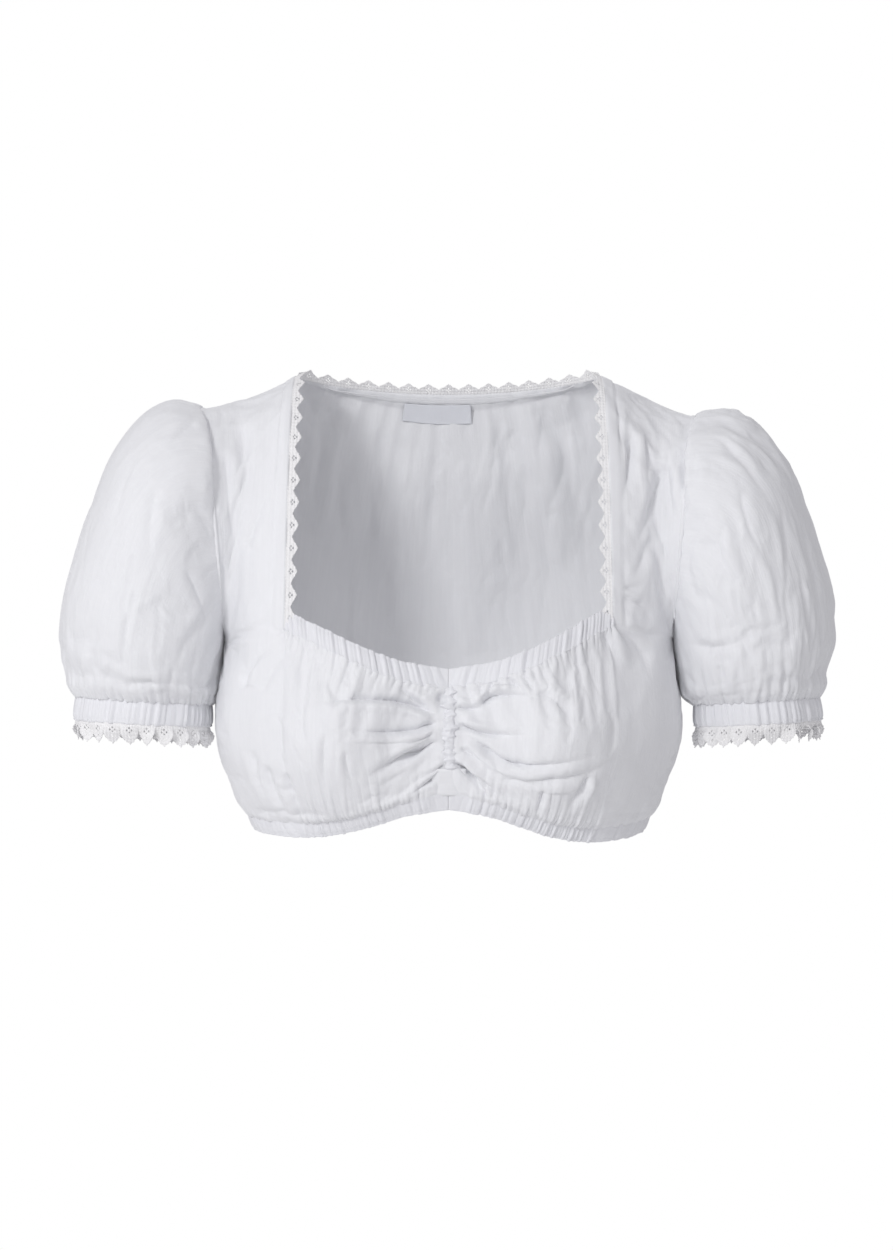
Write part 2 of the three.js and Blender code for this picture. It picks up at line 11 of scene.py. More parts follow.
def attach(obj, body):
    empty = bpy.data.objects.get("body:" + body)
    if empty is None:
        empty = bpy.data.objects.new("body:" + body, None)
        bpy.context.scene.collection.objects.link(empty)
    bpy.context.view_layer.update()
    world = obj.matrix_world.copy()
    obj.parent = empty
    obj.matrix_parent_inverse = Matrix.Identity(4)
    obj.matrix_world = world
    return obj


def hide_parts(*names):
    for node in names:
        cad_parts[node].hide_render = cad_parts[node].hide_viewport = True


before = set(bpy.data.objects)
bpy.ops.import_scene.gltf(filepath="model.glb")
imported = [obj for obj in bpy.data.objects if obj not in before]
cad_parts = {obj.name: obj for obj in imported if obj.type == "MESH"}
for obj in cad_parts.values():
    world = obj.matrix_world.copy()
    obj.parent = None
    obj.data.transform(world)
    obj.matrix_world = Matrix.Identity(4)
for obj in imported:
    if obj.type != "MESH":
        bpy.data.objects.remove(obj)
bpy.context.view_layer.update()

# Camera
# It stands three metres in front of the blouse and looks level at it, at the photograph's angle.
camera_data = bpy.data.cameras.new("camera")
camera = bpy.data.objects.new("camera", camera_data)
bpy.context.scene.collection.objects.link(camera)
camera.location = (-0.0015, -3.0, -0.185)
camera.rotation_euler = (math.radians(90), 0, 0)
camera_data.sensor_fit = "VERTICAL"
camera_data.sensor_height = 36
camera_data.lens = 118.4
bpy.context.scene.camera = camera

# Studio
# A white surround, a pale floor well below the blouse, and a large soft lamp at the front left
# that models the folds and reaches through the neckline. Weaker lamps stand at the left and behind.
world = bpy.data.worlds.new("studio")
bpy.context.scene.world = world
world.use_nodes = True
sky = world.node_tree
sky.nodes.clear()
shown = sky.nodes.new("ShaderNodeBackground")
shown.inputs["Color"].default_value = (1, 1, 1, 1)
shown.inputs["Strength"].default_value = 1.0
fill = sky.nodes.new("ShaderNodeBackground")
fill.inputs["Color"].default_value = (0.975, 0.965, 1.0, 1)
fill.inputs["Strength"].default_value = 0.50
rays = sky.nodes.new("ShaderNodeLightPath")
choice = sky.nodes.new("ShaderNodeMixShader")
sky_out = sky.nodes.new("ShaderNodeOutputWorld")
sky.links.new(rays.outputs["Is Camera Ray"], choice.inputs["Fac"])
sky.links.new(fill.outputs["Background"], choice.inputs[1])
sky.links.new(shown.outputs["Background"], choice.inputs[2])
sky.links.new(choice.outputs["Shader"], sky_out.inputs["Surface"])
bpy.context.scene.view_settings.view_transform = "Standard"

floor_mesh = bpy.data.meshes.new("floor")
bm = bmesh.new()
bmesh.ops.create_grid(bm, x_segments=1, y_segments=1, size=2.2)
bmesh.ops.translate(bm, vec=(0, 0, -1.05), verts=bm.verts)
bm.to_mesh(floor_mesh)
bm.free()
floor_finish = bpy.data.materials.new("floor")
floor_finish.use_nodes = True
floor_finish.node_tree.nodes["Principled BSDF"].inputs["Base Color"].default_value = (0.9, 0.9, 0.9, 1)
floor_finish.node_tree.nodes["Principled BSDF"].inputs["Roughness"].default_value = 0.95
floor_mesh.materials.append(floor_finish)
floor = bpy.data.objects.new("floor", floor_mesh)
bpy.context.scene.collection.objects.link(floor)


def soft_lamp(name, place, power, size):
    """A square soft lamp that points at the blouse."""
    data = bpy.data.lights.new(name, "AREA")
    data.energy = power
    data.size = size
    lamp = bpy.data.objects.new(name, data)
    lamp.location = place
    lamp.rotation_euler = (Vector((0, 0, -0.17)) - Vector(place)).to_track_quat("-Z", "Y").to_euler()
    bpy.context.scene.collection.objects.link(lamp)


soft_lamp("key_lamp", (-1.4, -2.5, 0.85), 30, 0.6)
soft_lamp("front_lamp", (0.1, -2.6, 1.0), 5, 0.8)
soft_lamp("side_lamp", (-2.4, -1.0, 0.3), 5, 1.2)
soft_lamp("back_lamp", (0.4, 2.6, 1.2), 20, 1.4)

# Front panels
# Two panels of fine white cotton, each a cup part with its strap up to the shoulder seam. Their
# fullness is drawn up in the neck casing above, the hem casing below and the ruching between them.
BODY_SECTIONS = [
    # height, half width, depth at the centre front, depth at the centre back, cup fullness
    (-345, 138.5, 88, 82, 0),
    (-328, 142.0, 92, 84, 2),
    (-311, 153.0, 99, 88, 10),
    (-293, 160.5, 104, 90, 20),
    (-276, 166.5, 107, 92, 27),
    (-258, 169.5, 108, 94, 29),
    (-240, 169.5, 107, 95, 28),
    (-221, 167.6, 105, 95, 23),
    (-205, 164.8, 102, 95, 16),
    (-190, 162.8, 100, 95, 9),
    (-175, 161.0, 97, 94, 4),
]
NECKLINE = [(0, -215.4), (30, -211), (57, -202), (87, -188), (109, -178), (124, -174)]
FRONT_HEM = [(0, -316), (28, -320), (53, -327.5), (74, -333), (100, -336.5), (125, -336), (146, -333)]
NECK_CASING_HEIGHT = 13
HEM_CASING_HEIGHT = 11
NECK_HALF_WIDTH = 111
NECK_SEAM_Z = -4
SHOULDER_HALF_WIDTH = 182
SHOULDER_Z = -28
UNDERARM_HALF_WIDTH = 163.5
UNDERARM_Z = -195
STRAP_ANGLE = 0.739
INNER_SHARE = 0.75
SIDES = [("right", -1), ("left", 1)]


def lerp(a, b, t):
    return a + (b - a) * t


def smooth(t):
    t = min(max(t, 0), 1)
    return t * t * (3 - 2 * t)


def bell(v):
    return math.exp(-v * v)


def signed_power(v, p):
    return math.copysign(abs(v) ** p, v)


def read_table(table, column, value):
    """A column of a table at a value of its first column, on a smooth curve through its rows."""
    last = len(table) - 1
    i = 0
    while i < last - 1 and value > table[i + 1][0]:
        i += 1
    before = max(i - 1, 0)
    after = min(i + 2, last)
    a = table[i]
    b = table[i + 1]
    step = b[0] - a[0]
    t = min(max((value - a[0]) / step, 0), 1)
    m0 = (b[column] - table[before][column]) / (b[0] - table[before][0]) * step
    m1 = (table[after][column] - a[column]) / (table[after][0] - a[0]) * step
    t2 = t * t
    t3 = t2 * t
    return ((2 * t3 - 3 * t2 + 1) * a[column] + (t3 - 2 * t2 + t) * m0
            + (3 * t2 - 2 * t3) * b[column] + (t3 - t2) * m1)


def body_point(side, angle, z):
    """A point of the body. The angle is 0 at the centre front and half a turn at the centre back."""
    front = math.cos(angle) > 0
    roundness = 2 / 2.35 if front else 2 / 2.2
    width = read_table(BODY_SECTIONS, 1, z)
    depth = read_table(BODY_SECTIONS, 2 if front else 3, z)
    x = width * signed_power(math.sin(angle), roundness)
    y = -depth * signed_power(math.cos(angle), roundness)
    if front:
        cup = read_table(BODY_SECTIONS, 4, z)
        y -= cup * bell((x - 85) / 48) * (1 - math.sin(angle) ** 6)
    return Vector((side * x, y, z))


def neck_edge(x):
    return read_table(NECKLINE, 1, abs(x))


def front_hem(x):
    return read_table(FRONT_HEM, 1, abs(x))


def edge_point(side, angle, height_at, guess):
    """Where the body at this angle crosses an edge whose height depends on x."""
    point = body_point(side, angle, guess)
    for _ in range(4):
        point = body_point(side, angle, height_at(point.x))
    return point


def armhole_point(side, angle):
    """The armhole's edge. The angle is 0 at the shoulder and half a turn at the underarm."""
    middle_x = (SHOULDER_HALF_WIDTH + UNDERARM_HALF_WIDTH) / 2
    middle_z = (SHOULDER_Z + UNDERARM_Z) / 2
    x = middle_x + (SHOULDER_HALF_WIDTH - middle_x) * math.cos(angle) - 4.5 * math.sin(angle) ** 2
    z = middle_z + (SHOULDER_Z - middle_z) * math.cos(angle)
    return Vector((side * x, -62 * math.sin(angle), z))


def roll_over(low, high, t, full_turn=math.pi / 2):
    """An arc from a point on the chest or back up and over to one at the top."""
    turn = t * full_turn
    drop = (math.cos(turn) - math.cos(full_turn)) / (1 - math.cos(full_turn))
    return Vector((
        lerp(low.x, high.x, t),
        high.y + (low.y - high.y) * drop,
        low.z + (high.z - low.z) * math.sin(turn) / math.sin(full_turn),
    ))


def shoulder_seam(side, across):
    sag = 4 * math.sin(math.pi * across)
    x = lerp(NECK_HALF_WIDTH, SHOULDER_HALF_WIDTH, across)
    return Vector((side * x, 0, lerp(NECK_SEAM_Z, SHOULDER_Z, across) - sag))


@functools.lru_cache(maxsize=None)
def strap_corner(side):
    return edge_point(side, STRAP_ANGLE, lambda x: neck_edge(x) - NECK_CASING_HEIGHT, UNDERARM_Z)


@functools.lru_cache(maxsize=None)
def armhole_miss(side, turn, t):
    """How far a plain arc from the underarm to the shoulder misses the armhole."""
    outer_low = body_point(side, math.pi / 2, UNDERARM_Z)
    shoulder = Vector((side * SHOULDER_HALF_WIDTH, 0, SHOULDER_Z))
    return armhole_point(side, turn) - roll_over(outer_low, shoulder, t)


@functools.lru_cache(maxsize=None)
def strap_low(side, across):
    angle = lerp(STRAP_ANGLE, math.pi / 2, across)
    return body_point(side, angle, lerp(strap_corner(side).z, UNDERARM_Z, across))


def strap_point(side, across, t):
    """A point of the strap: across runs from the neck edge to the armhole, and t up to the shoulder."""
    arc = roll_over(strap_low(side, across), shoulder_seam(side, across), t)
    return arc + armhole_miss(side, math.pi * (1 - t), t) * across ** 2


@functools.lru_cache(maxsize=None)
def front_column(side, across):
    """The lower and upper end of a front panel above the hem casing, at a share of its width."""
    if across <= INNER_SHARE:
        angle = STRAP_ANGLE * across / INNER_SHARE
        high = edge_point(side, angle, lambda x: neck_edge(x) - NECK_CASING_HEIGHT, -220)
    else:
        out = (across - INNER_SHARE) / (1 - INNER_SHARE)
        angle = lerp(STRAP_ANGLE, math.pi / 2, out)
        high = body_point(side, angle, lerp(strap_corner(side).z, UNDERARM_Z, out))
    low = edge_point(side, angle, lambda x: front_hem(x) + HEM_CASING_HEIGHT, -320)
    return angle, low, high


def front_point(side, across, up):
    """A point of a front panel: up is 0 at the hem casing, 1 at the underarm and 2 at the shoulder."""
    if up <= 1:
        angle, low, high = front_column(side, across)
        return body_point(side, angle, lerp(low.z, high.z, up))
    return strap_point(side, round((across - INNER_SHARE) / (1 - INNER_SHARE), 6), round(up - 1, 6))


def cloth_grid(bm, columns, rows, point_at, cut, across=(0, 1), up=(0, 1)):
    """Lays a sheet of cloth from its shares across and up. The UV map holds its place on the cut."""
    uv = bm.loops.layers.uv.verify()
    made = bmesh.ops.create_grid(bm, x_segments=columns, y_segments=rows, size=0.5)["verts"]
    shares = []
    for vertex in made:
        share_across = round(lerp(across[0], across[1], vertex.co.x + 0.5), 6)
        share_up = round(lerp(up[0], up[1], vertex.co.y + 0.5), 6)
        shares.append((vertex, share_across, share_up))
        for loop in vertex.link_loops:
            loop[uv].uv = (share_across * cut[0], share_up * cut[1])
    for vertex, share_across, share_up in shares:
        vertex.co = point_at(share_across, share_up)


def face_out(bm, middle):
    """Turns the faces of a sheet so that they point away from the middle of what it covers."""
    bm.normal_update()
    outward = sum(face.normal.dot(face.calc_center_median() - middle) for face in bm.faces)
    if outward < 0:
        bmesh.ops.reverse_faces(bm, faces=bm.faces)
    bm.normal_update()


def raise_cloth(bm, cut, rise_at):
    """Lifts every point of a sheet out of its surface, by its place on the cut."""
    uv = bm.loops.layers.uv.verify()
    moves = []
    for vertex in bm.verts:
        place = vertex.link_loops[0][uv].uv
        rise = rise_at(place.x / cut[0], place.y / cut[1], vertex.co)
        moves.append((vertex, vertex.normal * rise))
    for vertex, move in moves:
        vertex.co += move
    bm.normal_update()


def settle(bm, growth, pressure, weight, frames):
    """Lets the cloth buckle, fill out and sag between its seams, which are held, and refines it."""
    held = [vertex.index for vertex in bm.verts if vertex.is_boundary]
    bmesh.ops.scale(bm, vec=(0.001, 0.001, 0.001), verts=bm.verts)
    mesh = bpy.data.meshes.new("settling")
    bm.to_mesh(mesh)
    bm.free()
    cloth = bpy.data.objects.new("settling", mesh)
    bpy.context.scene.collection.objects.link(cloth)
    cloth.vertex_groups.new(name="held").add(held, 1.0, "REPLACE")
    fall = cloth.modifiers.new("settle", "CLOTH")
    fall.settings.quality = 6
    fall.settings.mass = 0.1
    fall.settings.tension_stiffness = 12
    fall.settings.compression_stiffness = 12
    fall.settings.shear_stiffness = 5
    fall.settings.bending_stiffness = 0.4
    fall.settings.air_damping = 3
    fall.settings.vertex_group_mass = "held"
    fall.settings.shrink_min = -growth
    fall.settings.shrink_max = -growth
    fall.settings.use_pressure = True
    fall.settings.uniform_pressure_force = pressure
    fall.settings.effector_weights.gravity = weight
    fall.collision_settings.use_collision = False
    fall.point_cache.frame_start = 1
    fall.point_cache.frame_end = frames
    finer = cloth.modifiers.new("finer", "SUBSURF")
    finer.levels = 1
    finer.render_levels = 1
    finer.uv_smooth = "NONE"
    finer.boundary_smooth = "PRESERVE_CORNERS"
    for number in range(1, frames + 1):
        bpy.context.scene.frame_set(number)
    ready = cloth.evaluated_get(bpy.context.evaluated_depsgraph_get()).to_mesh()
    settled = bmesh.new()
    settled.from_mesh(ready)
    bpy.data.objects.remove(cloth)
    bpy.data.meshes.remove(mesh)
    bpy.context.scene.frame_set(1)
    bmesh.ops.scale(settled, vec=(1000, 1000, 1000), verts=settled.verts)
    settled.normal_update()
    return settled


def gather_ridges(seed, count, length, height, reach, lean=0.0):
    """Ridges of cloth drawn up on a casing: where each starts, its lean, its reach and its height."""
    draw = random.Random(seed)
    ridges = []
    for number in range(count):
        ridges.append((
            length / count * (number + 0.5 + draw.uniform(-0.36, 0.36)),
            lean + draw.uniform(-0.14, 0.14),
            reach * (0.35 + 2.0 * draw.random() ** 2),
            height * draw.uniform(0.5, 1.3),
        ))
    return ridges


def gather_rise(ridges, pitch, along, away, turn=None):
    """How far the gathers stand up at a place along a casing and away from it: round ridges that
    meet in sharp valleys."""
    width = 0.56 * pitch * (1 + away / 30)
    rise = 0
    for at, lean, reach, height in ridges:
        gap = along - at - lean * away
        if turn:
            gap -= turn * round(gap / turn)
        if abs(gap) < width:
            rise = max(rise, height * math.exp(-away / reach) * (1 - (gap / width) ** 2) ** 0.6)
    return rise * (0.7 + 0.3 * smooth(away / 3))


def crumple_rise(place, seed, width=15, length=48):
    """Small sharp creases in irregular places, drawn out along z."""
    bend = 9 * noise.noise(Vector((place.x / 45, place.y / 45, place.z / 50 + seed)))
    x = (place.x + bend) / width
    y = (place.y + bend) / width
    coarse = noise.noise(Vector((x, y, place.z / length + seed)))
    fine = noise.noise(Vector((2.1 * x, 2.1 * y, 1.9 * place.z / length - seed)))
    return 0.8 - 2 * abs(coarse) - abs(fine)


def fold_line(start, middle, end, depth, spread, lip):
    """A crease through three points, with its depth, its width and how high its lip stands. The
    lip is on the left of the crease as it runs, or on the right where it is below zero."""
    bend = [2 * m - (s + e) / 2 for s, m, e in zip(start, middle, end)]
    points = []
    for step in range(11):
        t = step / 10
        points.append(tuple(
            (1 - t) ** 2 * s + 2 * t * (1 - t) * b + t * t * e for s, b, e in zip(start, bend, end)))
    room = 3.2 * spread
    low = tuple(min(p[i] for p in points) - room for i in range(2))
    high = tuple(max(p[i] for p in points) + room for i in range(2))
    return points, depth, spread, lip, low, high


def fold_rise(folds, x, z):
    """How far creases sink the cloth and their lips lift it, at a place seen from the front."""
    rise = 0
    for points, depth, spread, lip, low, high in folds:
        if not (low[0] < x < high[0] and low[1] < z < high[1]):
            continue
        best = 1e9
        for i in range(10):
            ax, az = points[i]
            dx = points[i + 1][0] - ax
            dz = points[i + 1][1] - az
            t = min(max(((x - ax) * dx + (z - az) * dz) / (dx * dx + dz * dz), 0), 1)
            gap_x = x - ax - t * dx
            gap_z = z - az - t * dz
            gap = gap_x * gap_x + gap_z * gap_z
            if gap < best:
                best = gap
                share = (i + t) / 10
                upper = dx * gap_z - dz * gap_x > 0
        reach = math.sqrt(best) / spread
        fade = smooth(share * 5) * smooth((1 - share) * 1.5)
        rise -= depth * fade * math.exp(-reach ** 1.4)
        if upper == (lip > 0):
            rise += 0.7 * abs(lip) * fade * bell((reach - 2.2) / 1.6)
    return rise


def cotton_finish(name, light, shade, crumple):
    """Fine cotton: a plain weave with slubs along the warp, a little crumple and a soft bloom."""
    finish = bpy.data.materials.new(name)
    finish.use_nodes = True
    tree = finish.node_tree
    surface = tree.nodes["Principled BSDF"]
    surface.inputs["Roughness"].default_value = 0.88
    surface.inputs["Sheen Weight"].default_value = 0.25
    surface.inputs["Sheen Roughness"].default_value = 0.45
    surface.inputs["Specular IOR Level"].default_value = 0.25
    place = tree.nodes.new("ShaderNodeTexCoord")
    height = None
    for axis, pitch in (("X", 0.00042), ("Y", 0.00046)):
        thread = tree.nodes.new("ShaderNodeTexWave")
        thread.wave_type = "BANDS"
        thread.bands_direction = axis
        thread.inputs["Scale"].default_value = 0.314 / pitch
        thread.inputs["Distortion"].default_value = 1.2
        thread.inputs["Detail"].default_value = 1
        tree.links.new(place.outputs["UV"], thread.inputs["Vector"])
        bump = tree.nodes.new("ShaderNodeBump")
        bump.inputs["Strength"].default_value = 0.22
        bump.inputs["Distance"].default_value = 0.00008
        tree.links.new(thread.outputs["Fac"], bump.inputs["Height"])
        if height:
            tree.links.new(height, bump.inputs["Normal"])
        height = bump.outputs["Normal"]
    stretch = tree.nodes.new("ShaderNodeMapping")
    stretch.inputs["Scale"].default_value = (620, 36, 1)
    slub = tree.nodes.new("ShaderNodeTexNoise")
    slub.inputs["Scale"].default_value = 1.0
    slub.inputs["Detail"].default_value = 2
    tree.links.new(place.outputs["UV"], stretch.inputs["Vector"])
    tree.links.new(stretch.outputs["Vector"], slub.inputs["Vector"])
    slub_bump = tree.nodes.new("ShaderNodeBump")
    slub_bump.inputs["Strength"].default_value = 0.5
    slub_bump.inputs["Distance"].default_value = 0.0003
    tree.links.new(slub.outputs["Fac"], slub_bump.inputs["Height"])
    tree.links.new(height, slub_bump.inputs["Normal"])
    crease = tree.nodes.new("ShaderNodeTexNoise")
    crease.inputs["Scale"].default_value = 75
    crease.inputs["Detail"].default_value = 4
    crease.inputs["Distortion"].default_value = 0.6
    tree.links.new(place.outputs["Object"], crease.inputs["Vector"])
    crease_bump = tree.nodes.new("ShaderNodeBump")
    crease_bump.inputs["Strength"].default_value = crumple
    crease_bump.inputs["Distance"].default_value = 0.0016
    tree.links.new(crease.outputs["Fac"], crease_bump.inputs["Height"])
    tree.links.new(slub_bump.outputs["Normal"], crease_bump.inputs["Normal"])
    tree.links.new(crease_bump.outputs["Normal"], surface.inputs["Normal"])
    tone = tree.nodes.new("ShaderNodeMix")
    tone.data_type = "RGBA"
    tone.inputs["A"].default_value = (*light, 1)
    tone.inputs["B"].default_value = (*shade, 1)
    tree.links.new(slub.outputs["Fac"], tone.inputs["Factor"])
    tree.links.new(tone.outputs["Result"], surface.inputs["Base Color"])
    return finish


def worn(place):
    """How the blouse sits a little unevenly: the left sleeve head hangs lower, the neckline ends
    higher and the hem dips further on that side. It gives the move of a place, in millimetres."""
    x, _, z = place
    drop = 5.5 * smooth((x - 135) / 45) * smooth((z + 110) / 60) * (1 - 0.6 * smooth((x - 215) / 40))
    dip = 3.6 * bell((x - 96) / 48) * smooth((-290 - z) / 30)
    lift = 3.6 * bell((x - 114) / 30) * bell((z + 178) / 24)
    return Vector((-2.4 * smooth((x - 235) / 30) * bell((z + 205) / 40), 0, lift - drop - dip))


def make_piece(name, bm, finish, nodes, wall=0.0):
    """Makes a piece from a shape in millimetres, and lets it stand for its CAD nodes."""
    for vertex in bm.verts:
        vertex.co += worn(vertex.co)
    bmesh.ops.scale(bm, vec=(0.001, 0.001, 0.001), verts=bm.verts)
    mesh = bpy.data.meshes.new(name)
    bm.to_mesh(mesh)
    bm.free()
    mesh.shade_smooth()
    mesh.materials.append(finish)
    piece = bpy.data.objects.new(name, mesh)
    bpy.context.scene.collection.objects.link(piece)
    if wall:
        thickness = piece.modifiers.new("cloth", "SOLIDIFY")
        thickness.thickness = wall
        thickness.offset = 0
    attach(piece, "root")
    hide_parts(*nodes)
    return piece


COTTON = cotton_finish("cotton", (0.86, 0.865, 0.885), (0.81, 0.815, 0.84), 0.35)
FRONT_CREASES = {
    # start, middle and end as x and z, then depth, spread and lip
    -1: [
        ((7, -249), (48, -237), (104, -241), 4.6, 2.3, -3.4),
        ((7, -252), (36, -260), (92, -257), 3.8, 2.2, -2.6),
        ((6, -266), (31, -278), (60, -292), 5.6, 3.0, 3.8),
        ((9, -261), (24, -266), (46, -275), 2.6, 1.8, 1.2),
        ((2, -287), (14, -296), (31, -307), 3.8, 1.6, 2.2),
        ((1, -283), (12, -289), (24, -296), 2.4, 1.5, 1.4),
        ((14, -243), (26, -236), (38, -226), 2.6, 1.9, 1.6),
        ((146, -232), (140, -213), (116, -193), 2.8, 2.4, 2.2),
        ((160, -201), (148, -191), (120, -184), 2.0, 2.4, 1.6),
        ((132, -236), (124, -216), (106, -197), 2.0, 2.6, 1.6),
        ((87, -260), (88, -282), (86, -306), 1.6, 2.4, 1.0),
        ((72, -272), (71, -286), (66, -300), 1.2, 2.0, 0.8),
        ((130, -282), (123, -304), (109, -324), 2.4, 2.4, 1.8),
        ((116, -288), (110, -306), (100, -324), 2.2, 2.2, 1.8),
        ((140, -272), (134, -296), (122, -318), 1.6, 2.4, 1.2),
        ((146, -132), (138, -112), (124, -78), 1.5, 3.0, 1.2),
        ((150, -36), (147, -64), (141, -98), 1.6, 3.2, 1.2),
        ((160, -60), (157, -96), (152, -140), 1.8, 3.0, -1.6),
    ],
    1: [
        ((5, -242), (15, -243.5), (28, -243), 3.2, 1.7, 2.2),
        ((24, -243), (36, -234), (76, -238), 3.8, 2.0, 3.0),
        ((60, -232), (78, -240), (86, -258), 1.8, 2.8, 1.4),
        ((6, -254), (26, -261), (60, -262), 4.2, 2.0, 3.0),
        ((14, -262), (54, -284), (112, -273), 4.4, 2.6, -3.4),
        ((60, -292), (92, -291), (116, -278), 1.8, 2.6, -1.4),
        ((2, -282), (15, -290), (26, -309), 3.8, 1.6, 2.2),
        ((8, -285), (21, -296), (31, -312), 2.6, 1.5, 1.6),
        ((14, -288), (28, -298), (40, -314), 1.8, 1.5, 1.2),
        ((8, -271), (18, -277), (34, -288), 2.0, 1.8, 1.2),
        ((21, -224), (23, -230), (20, -238), 2.4, 1.5, 1.6),
        ((29, -220), (30, -229), (25, -237), 2.6, 1.6, 1.8),
        ((42, -216), (46, -226), (60, -234), 2.6, 1.8, 1.8),
        ((50, -212), (54, -224), (66, -236), 2.0, 1.8, 1.4),
        ((106, -190), (116, -204), (121, -228), 2.2, 2.4, 1.6),
        ((118, -188), (136, -202), (142, -226), 1.8, 2.8, 1.4),
        ((101, -290), (92, -302), (82, -314), 3.0, 2.2, 2.2),
        ((66, -300), (64, -310), (58, -324), 1.8, 1.8, 1.4),
        ((120, -24), (120, -76), (118, -150), 1.8, 2.4, 1.4),
        ((131, -44), (129, -76), (119, -112), 3.0, 3.0, 3.0),
        ((151, -70), (146, -98), (126, -146), 3.2, 3.4, -3.0),
        ((157, -64), (158, -92), (166, -124), 2.4, 3.2, 2.0),
        ((144, -120), (138, -140), (126, -160), 1.8, 3.0, 1.4),
        ((120, -166), (132, -170), (148, -174), 2.0, 1.8, 1.6),
        ((120, -160), (130, -160), (142, -156), 1.6, 1.8, 1.2),
    ],
}
FRONT_FOLDS = {side: [fold_line(*row) for row in rows] for side, rows in FRONT_CREASES.items()}
HOLLOW = (5.0, -236.5)
NECK_EDGE_LENGTH = 146
NECK_GATHERS = 34
NECK_PITCH = NECK_EDGE_LENGTH / NECK_GATHERS
NECK_RIDGES = {
    side: gather_ridges(11 + side, NECK_GATHERS, NECK_EDGE_LENGTH, 2.7, 11, 0.35) for side in (-1, 1)}
HEM_EDGE_LENGTH = 196
HEM_GATHERS = 50
HEM_PITCH = HEM_EDGE_LENGTH / HEM_GATHERS
HEM_FLAT_CENTRE = 9
HEM_RIDGES = {side: gather_ridges(21 + side, HEM_GATHERS, HEM_EDGE_LENGTH, 2.2, 9) for side in (-1, 1)}
BODY_MIDDLE = Vector((0, 0, -200))
for name, side in SIDES:
    def front_drift(across, up, place):
        """Shallow waves that the cloth settles from."""
        if up <= 1:
            drift = noise.noise(Vector((across * 14, up * 1.6, side * 3.0)))
            return 1.2 * drift * smooth(up * 6) * smooth((1 - up) * 6)
        strap = (across - INNER_SHARE) / (1 - INNER_SHARE)
        drift = noise.noise(Vector((strap * 3.2, up * 1.4, side * 5.0)))
        return 1.8 * drift * smooth(strap * 5) * smooth((1 - strap) * 6) * smooth((2 - up) * 6)

    def front_gathers(across, up, place):
        """The creases from the ruching, the gathers at the casings and the strap's sewn edges."""
        rise = 1.5 * fold_rise(FRONT_FOLDS[side], abs(place.x), place.z)
        if up > 1:
            width = 1 - INNER_SHARE
            rise += (1.3 if side > 0 else 0.5) * crumple_rise(place, side * 3, 17, 60)
            from_neck = (across - INNER_SHARE) / width * lerp(88, 72, up - 1)
            rise *= smooth((from_neck - 7) / 4) * smooth((2 - up) * 8)
            rise += 0.6 * smooth((8.2 - from_neck) / 0.8) - 0.8 * bell((from_neck - 8.6) / 0.9)
            from_armhole = (1 - across) / width * 78
            return (rise + 0.6 * smooth((6 - from_armhole) / 0.8)
                    - 0.6 * bell((from_armhole - 6.4) / 0.9))
        _, low, high = front_column(side, round(across, 6))
        rise += 0.7 * crumple_rise(Vector((place.x, 0, place.z)), side * 3, 19, 52)
        rise *= smooth(across / 0.015) * smooth(up * 14) * smooth((high.z - place.z) / 6)
        if side < 0:
            rise -= 5.5 * bell((abs(place.x) - HOLLOW[0]) / 3.6) * bell((place.z - HOLLOW[1]) / 5.0)
        flat_centre = smooth((HEM_EDGE_LENGTH * across - HEM_FLAT_CENTRE) / 8)
        above = max(place.z - low.z, 0)
        rise += flat_centre * gather_rise(HEM_RIDGES[side], HEM_PITCH, HEM_EDGE_LENGTH * across, above)
        neck = smooth((0.80 - across) / 0.05)
        if neck:
            along = NECK_EDGE_LENGTH * across / INNER_SHARE
            below = max(high.z - place.z, 0)
            rise += neck * gather_rise(NECK_RIDGES[side], NECK_PITCH, along, below)
        return rise

    cut = (0.25, 0.13)
    bm = bmesh.new()
    cloth_grid(bm, 108, 75, lambda a, u: front_point(side, a, u), cut)
    cloth_grid(bm, 27, 62, lambda a, u: front_point(side, a, u), cut, (INNER_SHARE, 1), (1, 2))
    bmesh.ops.remove_doubles(bm, verts=bm.verts, dist=0.05)
    face_out(bm, BODY_MIDDLE)
    raise_cloth(bm, cut, front_drift)
    bm = settle(bm, 0.015, 1.2, 0.04, 20)
    raise_cloth(bm, cut, front_gathers)
    front = make_piece(f"front_cloth_{name}", bm, COTTON, [f"front_{name}"], 0.0005)

# Back panel
# One panel of the same cotton. Only its lower edge is gathered, so it hangs in soft upright folds.
BACK_TOP_SHARE = 7 / 11
SIDE_HEM = FRONT_HEM[-1][1]


def back_hem(angle):
    return SIDE_HEM + 12 * math.cos(angle) ** 2


@functools.lru_cache(maxsize=None)
def back_top(across):
    """The back's upper edge: a shoulder seam, the neckline and the other shoulder seam."""
    side = -1 if across < 0 else 1
    out = abs(across)
    if out > BACK_TOP_SHARE:
        return shoulder_seam(side, (out - BACK_TOP_SHARE) / (1 - BACK_TOP_SHARE))
    turn = out / BACK_TOP_SHARE
    depth = 50 * math.sqrt(max(1 - turn ** 3, 0))
    return Vector((side * NECK_HALF_WIDTH * turn, depth, lerp(-14, NECK_SEAM_Z, turn ** 2)))


@functools.lru_cache(maxsize=None)
def yoke_low(across):
    return body_point(-1 if across < 0 else 1, math.pi - abs(across) * math.pi / 2, UNDERARM_Z)


def yoke_point(across, t):
    """A point of the back above the underarm: across runs from -1 to 1, from armhole to armhole."""
    side = -1 if across < 0 else 1
    out = abs(across)
    full_turn = lerp(0.85, math.pi / 2, smooth(out / BACK_TOP_SHARE))
    arc = roll_over(yoke_low(across), back_top(across), t, full_turn)
    return arc + armhole_miss(side, math.pi * (1 + t), t) * out ** 3


